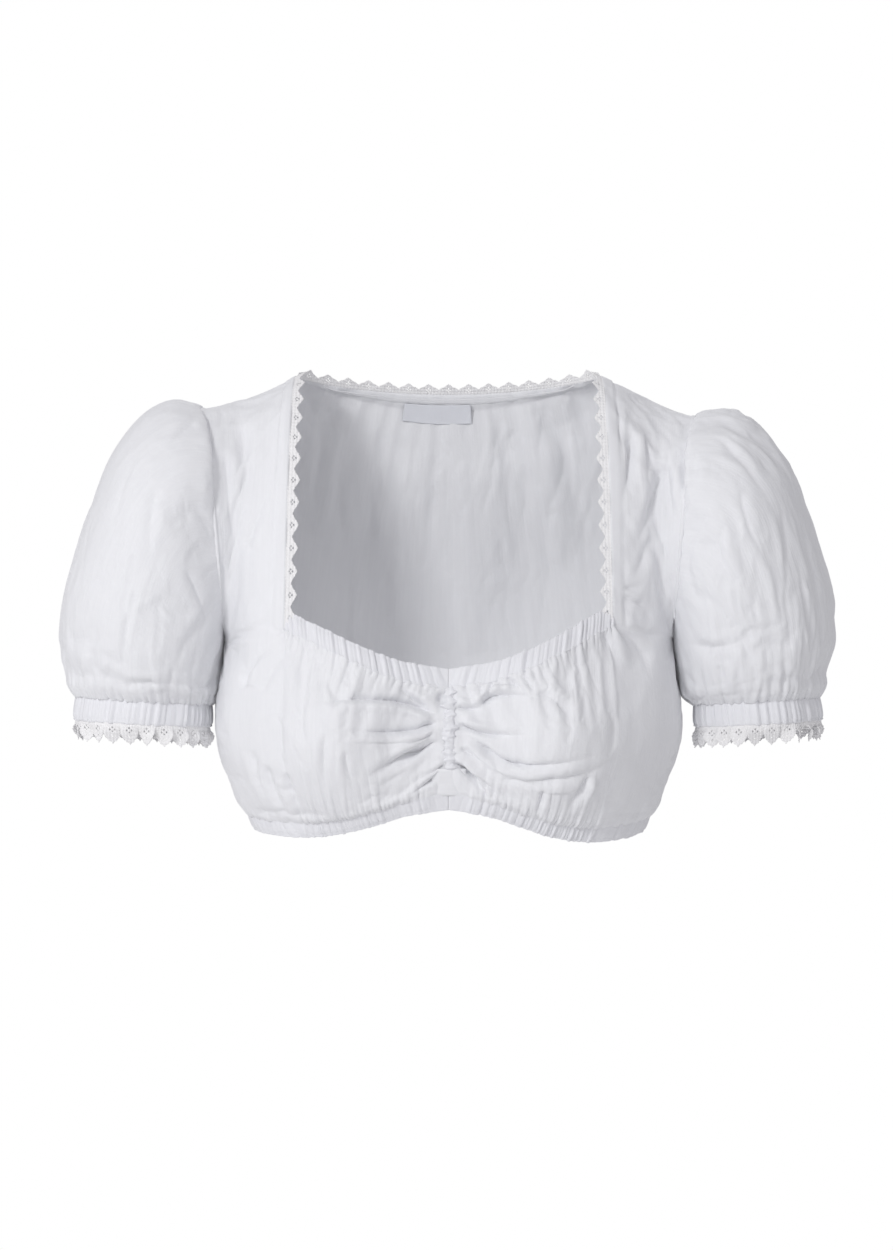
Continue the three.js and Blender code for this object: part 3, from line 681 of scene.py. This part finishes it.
def back_point(across, up):
    if up > 1:
        return yoke_point(across, round(up - 1, 6))
    angle = math.pi - abs(across) * math.pi / 2
    low = back_hem(angle) + HEM_CASING_HEIGHT
    return body_point(-1 if across < 0 else 1, angle, lerp(low, UNDERARM_Z, up))


BACK_EDGE_LENGTH = 390
BACK_GATHERS = 90
BACK_PITCH = BACK_EDGE_LENGTH / BACK_GATHERS
BACK_RIDGES = gather_ridges(31, BACK_GATHERS, BACK_EDGE_LENGTH, 1.7, 12)
BACK_CREASES = [
    # start, middle and end as x and z, then depth, spread and lip
    ((-53, -66), (-51, -90), (-48, -116), 1.8, 2.4, 1.4),
    ((-35, -98), (-29, -132), (-21, -170), 2.0, 2.6, 1.6),
    ((39, -54), (29, -88), (24, -118), 2.0, 2.6, 1.6),
    ((36, -108), (41, -136), (48, -176), 1.8, 2.6, 1.4),
    ((4, -96), (2, -130), (6, -178), 1.4, 2.6, 1.0),
    ((78, -84), (74, -120), (76, -160), 1.6, 3.0, 1.2),
    ((-84, -70), (-80, -110), (-84, -150), 1.4, 3.0, 1.2),
    ((-66, -226), (-62, -258), (-64, -296), 1.8, 3.0, 1.4),
    ((26, -230), (22, -262), (24, -300), 1.8, 3.0, 1.4),
    ((92, -220), (96, -256), (94, -296), 1.8, 3.0, 1.4),
]
BACK_FOLDS = [fold_line(*row) for row in BACK_CREASES]


def back_folds(across, up, place):
    """Soft upright waves that fade out at the seams."""
    edges = smooth((2 - up) * 3) * smooth(up * 5) * smooth((1 - abs(across)) * 9)
    soft = noise.noise(Vector((across * 6.5, up * 0.55, 7.0)))
    fine = noise.noise(Vector((across * 15, up * 1.3, 2.0)))
    return (1.6 * soft + 0.8 * fine) * edges


def back_gathers(across, up, place):
    """A few sharper upright creases, room for the label, and the gathers above the hem casing."""
    rise = -0.5 * fold_rise(BACK_FOLDS, place.x, place.z) * smooth(place.y / 30)
    rise += 0.9 * crumple_rise(place, 8, 15, 95) * smooth((2 - up) * 3) * smooth((1 - abs(across)) * 9)
    rise += 3.0 * smooth((up - 1.6) / 0.16) * smooth((1.955 - up) * 25)
    above = max(place.z - back_hem(math.pi * (1 - abs(across) / 2)) - HEM_CASING_HEIGHT, 0)
    if above < 120:
        along = BACK_EDGE_LENGTH * (across + 1) / 2
        rise += gather_rise(BACK_RIDGES, BACK_PITCH, along, above)
    return rise


cut = (0.2, 0.14)
bm = bmesh.new()
cloth_grid(bm, 132, 40, back_point, cut, (-1, 1))
cloth_grid(bm, 132, 44, back_point, cut, (-1, 1), (1, 2))
bmesh.ops.remove_doubles(bm, verts=bm.verts, dist=0.05)
face_out(bm, BODY_MIDDLE)
raise_cloth(bm, cut, back_folds)
bm = settle(bm, 0.02, 0.4, 0.1, 16)
raise_cloth(bm, cut, back_gathers)
back = make_piece("back_cloth", bm, COTTON, ["back"], 0.0005)

# Sleeves
# Two puffs of the same cotton, gathered into the upper half of the armhole and all round into the
# cuff casing. They turn from the upright armhole to the level cuff.
SLEEVE_RINGS = [
    # share of the way, outer x, outer z, inner x, inner z, half depth
    (0.00, 181.6, -28, 163.3, -195.0, 62),
    (0.08, 192, -24.5, 166.3, -199, 69),
    (0.18, 207, -25, 167.0, -203, 76),
    (0.30, 225, -36, 168.0, -208, 81),
    (0.43, 244, -62, 168.8, -213, 83),
    (0.56, 257, -95, 169.6, -218, 82),
    (0.69, 268, -130, 170.2, -224, 79),
    (0.80, 277, -163, 170.8, -229, 74),
    (0.90, 279, -198, 171.4, -234, 66),
    (0.96, 275.5, -221, 172.2, -238, 57),
    (1.00, 270.5, -237, 173.6, -242, 49),
]
CUFF_NARROWING = {-1: 0, 1: 6}


def ring_point(side, ring, turn, sag=0.0):
    """A point of a ring round the arm. The turn is 0 at the outside and a right angle at the front."""
    outer_x, outer_z, inner_x, inner_z, depth = ring
    inner_x += CUFF_NARROWING[side] * smooth((-228 - inner_z) / 16)
    middle_x = (outer_x + inner_x) / 2
    middle_z = (outer_z + inner_z) / 2
    x = middle_x + (outer_x - middle_x) * math.cos(turn) - sag * math.sin(turn) ** 2
    z = middle_z + (outer_z - middle_z) * math.cos(turn)
    return Vector((side * x, -depth * math.sin(turn), z))


@functools.lru_cache(maxsize=None)
def sleeve_ring(at):
    return tuple(read_table(SLEEVE_RINGS, column, at) for column in range(1, 6))


def sleeve_length(turn):
    """The sleeve's length at a turn, from the armhole to the cuff casing."""
    return lerp(48, 258, (1 + math.cos(turn)) / 2)


SLEEVE_CREASES = {
    # start, middle and end as x and z, then depth, spread and lip
    -1: [
        ((180, -40), (192, -47), (201, -62), 2.8, 2.6, 2.2),
        ((188, -144), (178, -165), (173, -188), 2.6, 2.8, 2.4),
        ((228, -174), (230, -196), (234, -222), 2.4, 2.2, 2.0),
        ((232, -229), (214, -226), (176, -229), 3.4, 2.4, -2.8),
        ((224, -66), (236, -100), (244, -140), 1.6, 3.2, 1.4),
        ((206, -84), (212, -118), (208, -154), 1.6, 3.2, 1.4),
        ((196, -215), (199, -226), (203, -238), 2.2, 2.4, 1.6),
        ((252, -200), (255, -220), (253, -238), 2.4, 2.6, 1.8),
        ((242, -212), (243, -226), (240, -238), 2.2, 2.2, 1.8),
    ],
    1: [
        ((172, -196), (197, -200), (224, -185), 3.4, 2.8, 2.6),
        ((193, -45), (216, -75), (236, -114), 2.4, 3.0, 2.0),
        ((178, -56), (175, -79), (173, -102), 2.0, 2.6, 1.8),
        ((208, -86), (212, -113), (228, -147), 2.6, 2.8, 2.2),
        ((235, -101), (242, -138), (238, -166), 2.4, 2.8, -2.0),
        ((197, -112), (193, -138), (209, -170), 2.4, 2.8, 2.0),
        ((176, -112), (171, -146), (183, -174), 2.2, 2.8, 2.0),
        ((212, -168), (219, -179), (224, -190), 2.2, 2.4, 1.6),
        ((262, -222), (256, -230), (247, -236), 2.6, 2.6, 1.6),
        ((216, -214), (220, -226), (218, -239), 2.4, 2.6, 1.8),
        ((190, -212), (196, -224), (194, -238), 2.4, 2.6, 1.8),
        ((238, -208), (240, -222), (236, -236), 2.4, 2.6, 1.8),
    ],
}
SLEEVE_FOLDS = {side: [fold_line(*row) for row in rows] for side, rows in SLEEVE_CREASES.items()}
CUFF_EDGE_LENGTH = 305
CUFF_GATHERS = 84
CUFF_PITCH = CUFF_EDGE_LENGTH / CUFF_GATHERS
CUFF_RIDGES = {side: gather_ridges(51 + side, CUFF_GATHERS, CUFF_EDGE_LENGTH, 2.7, 8) for side in (-1, 1)}
HEAD_EDGE_LENGTH = 462
HEAD_GATHERS = 40
PUFF_ROUND = 440
LONG_GATHERS = 13
BROAD_GATHERS = 18


def head_overlap(turn, up):
    """How far the gathered sleeve head lies over the strap and the back."""
    reach = up / 0.05
    return smooth(1.6 * abs(math.sin(turn))) * smooth(0.3 + math.cos(turn)) * reach * math.exp(1 - reach)


for name, side in SIDES:
    head_ridges = gather_ridges(41 + side, HEAD_GATHERS, HEAD_EDGE_LENGTH, 1.6, 10)
    long_ridges = gather_ridges(61 + side, LONG_GATHERS, PUFF_ROUND, 3.2, 60)
    broad_head = gather_ridges(111 + side, BROAD_GATHERS, HEAD_EDGE_LENGTH, 2.2, 24)
    broad_cuff = gather_ridges(121 + side, BROAD_GATHERS, CUFF_EDGE_LENGTH, 3.2, 18)

    def sleeve_folds(across, up, place):
        """The long folds of the puff that the cloth settles from."""
        turn = 2 * math.pi * across
        length = sleeve_length(turn)
        from_cuff = (1 - up) * length
        middle = smooth(up * length / 40) * smooth(from_cuff / 30)
        long_fold = gather_rise(long_ridges, PUFF_ROUND / LONG_GATHERS, PUFF_ROUND * across,
                                from_cuff * 0.5, PUFF_ROUND)
        drift = noise.noise(Vector((math.cos(turn) * 2.0, math.sin(turn) * 2.0, up * 2.2 + side * 4)))
        rise = middle * (0.6 * long_fold + 1.6 * drift)
        broad = gather_rise(broad_cuff, CUFF_EDGE_LENGTH / BROAD_GATHERS, CUFF_EDGE_LENGTH * across,
                            from_cuff, CUFF_EDGE_LENGTH)
        return rise + broad * smooth(from_cuff / 9)

    def sleeve_gathers(across, up, place):
        """The creases seen at the front, and the gathers at the armhole and the cuff."""
        turn = 2 * math.pi * across
        length = sleeve_length(turn)
        rise = gather_rise(CUFF_RIDGES[side], CUFF_PITCH, CUFF_EDGE_LENGTH * across,
                           (1 - up) * length, CUFF_EDGE_LENGTH)
        head = smooth(0.35 + math.cos(turn))
        if head:
            for ridges, count in ((head_ridges, HEAD_GATHERS), (broad_head, BROAD_GATHERS)):
                rise += head * gather_rise(ridges, HEAD_EDGE_LENGTH / count, HEAD_EDGE_LENGTH * across,
                                           up * length, HEAD_EDGE_LENGTH)
        if place.y < 0:
            rise += 0.6 * smooth(-place.y / 20) * fold_rise(SLEEVE_FOLDS[side], abs(place.x), place.z)
        around = Vector((70 * math.cos(turn), 70 * math.sin(turn), up * length))
        held = smooth(up * length / 12) * smooth((1 - up) * length / 12)
        held *= 0.75 + 1.2 * noise.noise(Vector((around.x / 60, around.y / 60, around.z / 70 + side)))
        return rise + (2.1 if side > 0 else 0.8) * held * crumple_rise(around, side * 7, 17, 52)

    def sleeve_point(across, up):
        turn = 2 * math.pi * across
        overlap = head_overlap(turn, up)
        sag = 4.5 * (1 - smooth(up / 0.4))
        place = ring_point(side, sleeve_ring(up), turn, sag)
        return place + overlap * Vector((-8 * side, -4 * math.sin(turn), 0))

    cut = (0.50, 0.2)
    bm = bmesh.new()
    cloth_grid(bm, 156, 74, sleeve_point, cut)
    bmesh.ops.remove_doubles(bm, verts=bm.verts, dist=0.02)
    face_out(bm, Vector((side * 222, 0, -140)))
    raise_cloth(bm, cut, sleeve_folds)
    bm = settle(bm, 0.02, 4.0, 0.05, 22)
    raise_cloth(bm, cut, sleeve_gathers)
    sleeve = make_piece(f"sleeve_cloth_{name}", bm, COTTON, [f"sleeve_{name}"], 0.0005)

# Casings
# Channels of doubled cotton over elastic, at the neckline, hem and cuffs. The elastic draws them
# up into crisp gathers, and a row of stitches near the free edge holds it in.
LAP = 1.6
CASING = cotton_finish("casing", (0.85, 0.855, 0.88), (0.79, 0.795, 0.83), 0.25)


def casing_band(name, nodes, seams, frees, ridges, pitch, length, flat_to, slant, closed):
    """A gathered channel from its seam to its free edge, given by the points along each of them.
    Its gathers run on from those of the panel, whose edge lies inside the channel."""
    columns = len(seams) - 1
    middle = sum(seams, Vector()) / len(seams)
    height = (frees[0] - seams[0]).length
    overlap = LAP / height
    puckers = gather_ridges(len(ridges) + columns, 2 * len(ridges), length, 0.9, 60)
    outs = []
    for i in range(columns + 1):
        before = seams[i - 1] if i else seams[-2 if closed else 0]
        after = seams[i + 1] if i < columns else seams[1 if closed else -1]
        out = (after - before).cross(frees[i] - seams[i]).normalized()
        if out.dot(seams[i] - middle) < 0:
            out.negate()
        outs.append(out)

    def band_point(across, around):
        i = round(across * columns)
        turn = 2 * math.pi * around
        down = lerp(-overlap, 1, 0.5 - 0.5 * math.cos(turn))
        along = length * across + slant * max(down, 0) * height
        loop = length if closed else None
        ridge = gather_rise(ridges, pitch, along, 4, loop) * smooth((length * across - flat_to) / 8 + 0.1)
        pucker = gather_rise(puckers, pitch / 2, along, 4, loop)
        free = (1 - down) * height
        into = smooth((down * height + 0.1) / 0.8)
        held = 1 - 0.35 * bell((free - 1.9) / 0.8)
        lap = 0.7 * ridge + 0.7
        if turn < math.pi:
            raised = 0.3 + ridge * (0.7 + 0.3 * math.sin(math.pi * max(down, 0))) + 0.4 * pucker * into
            offset = lerp(lap, raised * held, into) * min(free / 0.9, 1) ** 0.5
        else:
            inner = -0.8 * abs(math.sin(turn)) ** 0.6 - 0.2 * ridge
            offset = lerp(lap, inner, min((2 * math.pi - turn) / 0.35, 1))
        spill = 0.45 * (ridge - 1.0) * smooth(down)
        point = seams[i].lerp(frees[i], down)
        return point + outs[i] * offset + (frees[i] - seams[i]).normalized() * spill

    bm = bmesh.new()
    cloth_grid(bm, columns, 30, band_point, (length / 1000, 0.026))
    bmesh.ops.remove_doubles(bm, verts=bm.verts, dist=0.004)
    bmesh.ops.holes_fill(bm, edges=[edge for edge in bm.edges if edge.is_boundary])
    bmesh.ops.recalc_face_normals(bm, faces=bm.faces)
    band = make_piece(name, bm, CASING, nodes)


for name, side in SIDES:
    columns = 300
    seams = []
    frees = []
    for i in range(columns + 1):
        angle = (STRAP_ANGLE - 0.004) * i / columns
        seams.append(edge_point(side, angle, lambda x: neck_edge(x) - NECK_CASING_HEIGHT, -225))
        frees.append(edge_point(side, angle, lambda x: neck_edge(x), -215))
    casing_band(f"neck_band_{name}", [f"neck_casing_{name}"], seams, frees, NECK_RIDGES[side],
                NECK_PITCH, NECK_EDGE_LENGTH, 0, -0.3, False)
    seams = []
    frees = []
    for i in range(columns + 1):
        angle, low, _ = front_column(side, round(i / columns, 6))
        seams.append(low)
        frees.append(edge_point(side, angle, front_hem, -330))
    casing_band(f"hem_band_front_{name}", [f"hem_casing_front_{name}"], seams, frees, HEM_RIDGES[side],
                HEM_PITCH, HEM_EDGE_LENGTH, HEM_FLAT_CENTRE, 0.2, False)

seams = []
frees = []
for i in range(501):
    across = 2 * i / 500 - 1
    side = -1 if across < 0 else 1
    angle = math.pi - abs(across) * math.pi / 2
    seams.append(body_point(side, angle, back_hem(angle) + HEM_CASING_HEIGHT))
    frees.append(body_point(side, angle, back_hem(angle)))
casing_band("hem_band_back", ["hem_casing_back"], seams, frees, BACK_RIDGES, BACK_PITCH,
            BACK_EDGE_LENGTH, -10, 0.1, False)

CUFF_RADIUS = 49
CUFF_TOP = (270.5, -237.4, 174.5, -242.4, CUFF_RADIUS)
CUFF_BOTTOM = (272.5, -254, 174.2, -259, 49.5)
for name, side in SIDES:
    turns = [2 * math.pi * i / 440 for i in range(441)]
    seams = [ring_point(side, CUFF_TOP, turn) for turn in turns]
    frees = [ring_point(side, CUFF_BOTTOM, turn) for turn in turns]
    casing_band(f"cuff_band_{name}", [f"cuff_casing_{name}"], seams, frees, CUFF_RIDGES[side],
                CUFF_PITCH, CUFF_EDGE_LENGTH, -10, 0.1, True)

# Lace
# Narrow machine lace with points and little eyelets, sewn to the straps, the back neckline and the
# cuffs. The neck lace lies flat, and the leaf-shaped points of the cuff lace curl and twist.
LACE = cotton_finish("lace", (0.90, 0.895, 0.90), (0.85, 0.845, 0.85), 0.4)
NECK_LACE_WIDTH = 9.1
CUFF_LACE_WIDTH = 14.4


def pointed_open(share, across, pitch):
    """True where the neck lace is open: past its straight-sided points, or in an eyelet."""
    along = (share - 0.5) * pitch
    picot = 0.22 * math.cos(2 * math.pi * share * round(pitch / 1.5))
    if across > 8.9 - 4.6 * abs(2 * share - 1) + picot:
        return True
    eyelets = ((0, 5.3, 0.6), (-1.3, 3.9, 0.55), (1.3, 3.9, 0.55), (0, 3.0, 0.45))
    return any((along - x) ** 2 + (across - y) ** 2 < r * r for x, y, r in eyelets)


def petal_open(share, across, pitch):
    """True where the cuff lace is open: between its leaf-shaped points, or in an eyelet."""
    along = (share - 0.5) * pitch
    reach = (across - 1.6) / 12.2
    picot = 0.06 * math.cos(across * 3.6)
    if reach > 0 and abs(2 * share - 1) > max(1 - min(reach, 1) ** 2.3, 0) ** 0.75 + picot * reach:
        return True
    eyelets = ((0, 3.6, 0.6), (-1.7, 5.0, 0.6), (1.7, 5.0, 0.6), (0, 6.4, 0.6), (0, 9.2, 0.45))
    return any((along - x) ** 2 + (across - y) ** 2 < r * r for x, y, r in eyelets)


LACE_STEP = 0.42


def lace_band(name, nodes, points, width, open_at, place_at, cut):
    """A strip of lace. place_at gives a place from the share along it and the distance across it."""
    pitch = cut[0] * 1000 / points
    per_point = round(pitch / LACE_STEP)
    bm = bmesh.new()
    cloth_grid(bm, points * per_point, round(width / LACE_STEP), lambda a, u: Vector((a, u, 0)), cut)
    faces = []
    for face in bm.faces:
        centre = face.calc_center_median()
        if open_at(centre.x * points % 1, centre.y * width, pitch):
            faces.append(face)
    bmesh.ops.delete(bm, geom=faces, context="FACES")
    for vertex in bm.verts:
        relief = 0.16 * math.cos(2 * math.pi * vertex.co.x * points * 6)
        relief += 0.16 * math.cos(vertex.co.y * width * 2.6)
        vertex.co = place_at(vertex.co.x, vertex.co.y * width, relief)
    bmesh.ops.remove_doubles(bm, verts=bm.verts, dist=0.01)
    rim = [v for v in bm.verts if v.is_boundary]
    for _ in range(2):
        bmesh.ops.smooth_vert(bm, verts=rim, factor=0.4, use_axis_x=True, use_axis_y=True, use_axis_z=True)
    piece = make_piece(name, bm, LACE, nodes, 0.0006)


for name, side in SIDES:
    edge = [strap_point(side, 0, i / 80) for i in range(81)]
    reached = [0]
    for a, b in zip(edge, edge[1:]):
        reached.append(reached[-1] + (b - a).length)

    def strap_lace(along, across, relief):
        """The points are evenly spaced along the edge, and lie in the strap's own plane."""
        goal = along * reached[-1]
        i = min(bisect.bisect(reached, goal), 80)
        part = (goal - reached[i - 1]) / (reached[i] - reached[i - 1])
        base = edge[i - 1].lerp(edge[i], part)
        lift = 0.5 * smooth((along - 0.75) / 0.25)
        lean = Vector((-side, -0.12 * (1 - along), lift)).normalized()
        out = Vector((0, -1, 0.8 * along)).normalized()
        ripple = 0.4 * math.sin(along * 75) * across / 8.5 + 0.3 * math.sin(along * 31 + 1)
        return base + lean * (across - 0.6) + out * (relief + ripple + 0.4)

    lace_band(f"strap_lace_{name}", [f"neck_lace_{name}"], 13, NECK_LACE_WIDTH, pointed_open,
              strap_lace, (0.20, 0.0091))


def back_lace(along, across, relief):
    out = 2 * along - 1
    corner = smooth((abs(out) - 0.86) / 0.14)
    lean = Vector((-0.6 * math.copysign(corner, out), -0.6 * (1 - corner), 1)).normalized()
    edge = back_top(lerp(-BACK_TOP_SHARE, BACK_TOP_SHARE, along))
    ripple = 0.4 * math.sin(along * 60) * across / 8.5
    return edge + lean * (across - 0.4) + Vector((0, 1, 0)) * (relief + ripple)


lace_band("back_neck_lace", ["neck_lace_back"], 15, NECK_LACE_WIDTH, pointed_open, back_lace,
          (0.27, 0.0091))

for name, side in SIDES:
    top = (272.3, -253.0, 174.4, -258.0, 49.3)
    tip = (268.5, -268.6, 176.5, -274.6, 47.5)
    petals = 24
    petal_draw = random.Random(131 + side)
    poses = [(petal_draw.uniform(-0.95, 0.95), petal_draw.uniform(-0.8, 3.4), petal_draw.uniform(-2, 2))
             for _ in range(petals)]

    def cuff_lace(along, across, relief):
        """Each point of the lace twists, tips and curls on its own below the casing."""
        number = min(int(along * petals), petals - 1)
        twist, tilt, curl = poses[number]
        reach = across / CUFF_LACE_WIDTH
        turn = 2 * math.pi * along
        centre = 2 * math.pi * (number + 0.5) / petals
        outward = Vector((side * math.cos(centre), -math.sin(centre), 0))
        forward = Vector((-side * math.sin(centre), -math.cos(centre), 0))
        beside = (turn - centre) * CUFF_RADIUS * lerp(1, 1.2, smooth(reach * 1.6))
        angle = twist * smooth(reach * 1.6)
        point = ring_point(side, top, centre).lerp(ring_point(side, tip, centre), reach)
        point += forward * beside * math.cos(angle)
        point += outward * (beside * math.sin(angle) + tilt * reach + curl * reach ** 3)
        plain = ring_point(side, top, turn).lerp(ring_point(side, tip, turn), reach)
        return plain.lerp(point, smooth(reach * 2.2)) + outward * relief

    lace_band(f"cuff_edging_{name}", [f"cuff_lace_{name}"], petals, CUFF_LACE_WIDTH, petal_open,
              cuff_lace, (0.32, 0.0144))

# Back neck facing and label
# The facing is a strip of cotton that finishes the inside of the back neckline. The label below it
# is a small satin ribbon, left blank.
LABEL_FINISH = cotton_finish("label_satin", (0.80, 0.815, 0.86), (0.77, 0.785, 0.83), 0.1)
LABEL_FINISH.node_tree.nodes["Principled BSDF"].inputs["Roughness"].default_value = 0.4
FACING_UP = (0.955, 0.985)
LABEL_UP = (0.862, 0.957)


def inside_back(name, finish, node, columns, rows, across, up, inset, cut, lift_at):
    bm = bmesh.new()
    cloth_grid(bm, columns, rows, lambda a, u: yoke_point(round(a, 6), round(u, 6)), cut, across, up)
    face_out(bm, BODY_MIDDLE)
    raise_cloth(bm, cut, lambda a, u, place: -inset + lift_at(a, u))
    piece = make_piece(name, bm, finish, [node], 0.0006)


def facing_lift(across, up):
    share = (up - FACING_UP[0]) / 0.03
    ends = 2.4 * smooth((abs(across) - 0.48) / 0.06)
    return 0.4 * bell((share - 0.12) / 0.1) + 0.2 * noise.noise(Vector((across * 25, share, 1))) + ends


def label_lift(across, up):
    return 0.4 * noise.noise(Vector((across * 9, up * 9, 4)))


inside_back("neck_facing", COTTON, "back_neck_facing", 150, 10, (-6 / 11, 6 / 11),
            FACING_UP, 3.0, (0.24, 0.0105), facing_lift)
inside_back("blank_label", LABEL_FINISH, "label", 44, 24, (-2 / 11, 1 / 11),
            LABEL_UP, 4.4, (0.052, 0.018), label_lift)

# Centre ruching and tab
# Between the cups a narrow channel is drawn up on a cord into a column of small puffs. Below it a
# flat tab of doubled cotton covers the seam down to the hem casing.
ruching_draw = random.Random(5)
PUFFS = [(-229 - 4.7 * i + ruching_draw.uniform(-1.2, 1.2), ruching_draw.uniform(1.2, 2.8),
          ruching_draw.uniform(-1.4, 1.4)) for i in range(13)]


def ruching_point(along, around):
    z = lerp(-227, -289, along)
    turn = 2 * math.pi * around
    swell = 0
    shift = 0
    for middle, width, lean in PUFFS:
        weight = bell((z - middle - 0.8 * math.cos(turn) * lean) / 1.6)
        swell += weight * width
        shift += weight * lean
    end = smooth(along * 14) * smooth((1 - along) * 14)
    crumple = 1 - abs(2 * noise.noise(Vector((math.cos(turn), math.sin(turn), z * 0.33))))
    half = (1.9 + 1.1 * swell + 1.1 * crumple) * end
    depth = (0.9 + 0.7 * swell + 0.9 * crumple) * end
    centre = body_point(1, 0, z)
    return centre + Vector((1.0 + shift + half * math.cos(turn), -0.8 - depth * math.sin(turn), 0))


bm = bmesh.new()
cloth_grid(bm, 170, 28, ruching_point, (0.09, 0.03))
bmesh.ops.remove_doubles(bm, verts=bm.verts, dist=0.01)
bmesh.ops.recalc_face_normals(bm, faces=bm.faces)
ruching = make_piece("ruched_channel", bm, CASING, ["centre_ruching"])


def tab_point(along, around):
    z = lerp(-286, -305.5, along)
    turn = 2 * math.pi * around
    flat = signed_power(math.cos(turn), 0.6)
    end = smooth(along * 10) * smooth((1 - along) * 10)
    seam = 0.6 * bell((flat - 0.08) / 0.05)
    depth = (0.6 - 0.35 * flat ** 4 + 0.4 * noise.noise(Vector((flat * 2.4, along * 3, 3))) - seam) * end
    thick = signed_power(math.sin(turn), 0.7)
    centre = body_point(1, 0, z)
    return centre + Vector((12 * flat, 0.9 * flat ** 2 - 1.1 - depth * thick, 0))


bm = bmesh.new()
cloth_grid(bm, 40, 60, tab_point, (0.018, 0.03))
bmesh.ops.remove_doubles(bm, verts=bm.verts, dist=0.01)
bmesh.ops.recalc_face_normals(bm, faces=bm.faces)
tab = make_piece("centre_front_tab", bm, COTTON, ["centre_tab"])
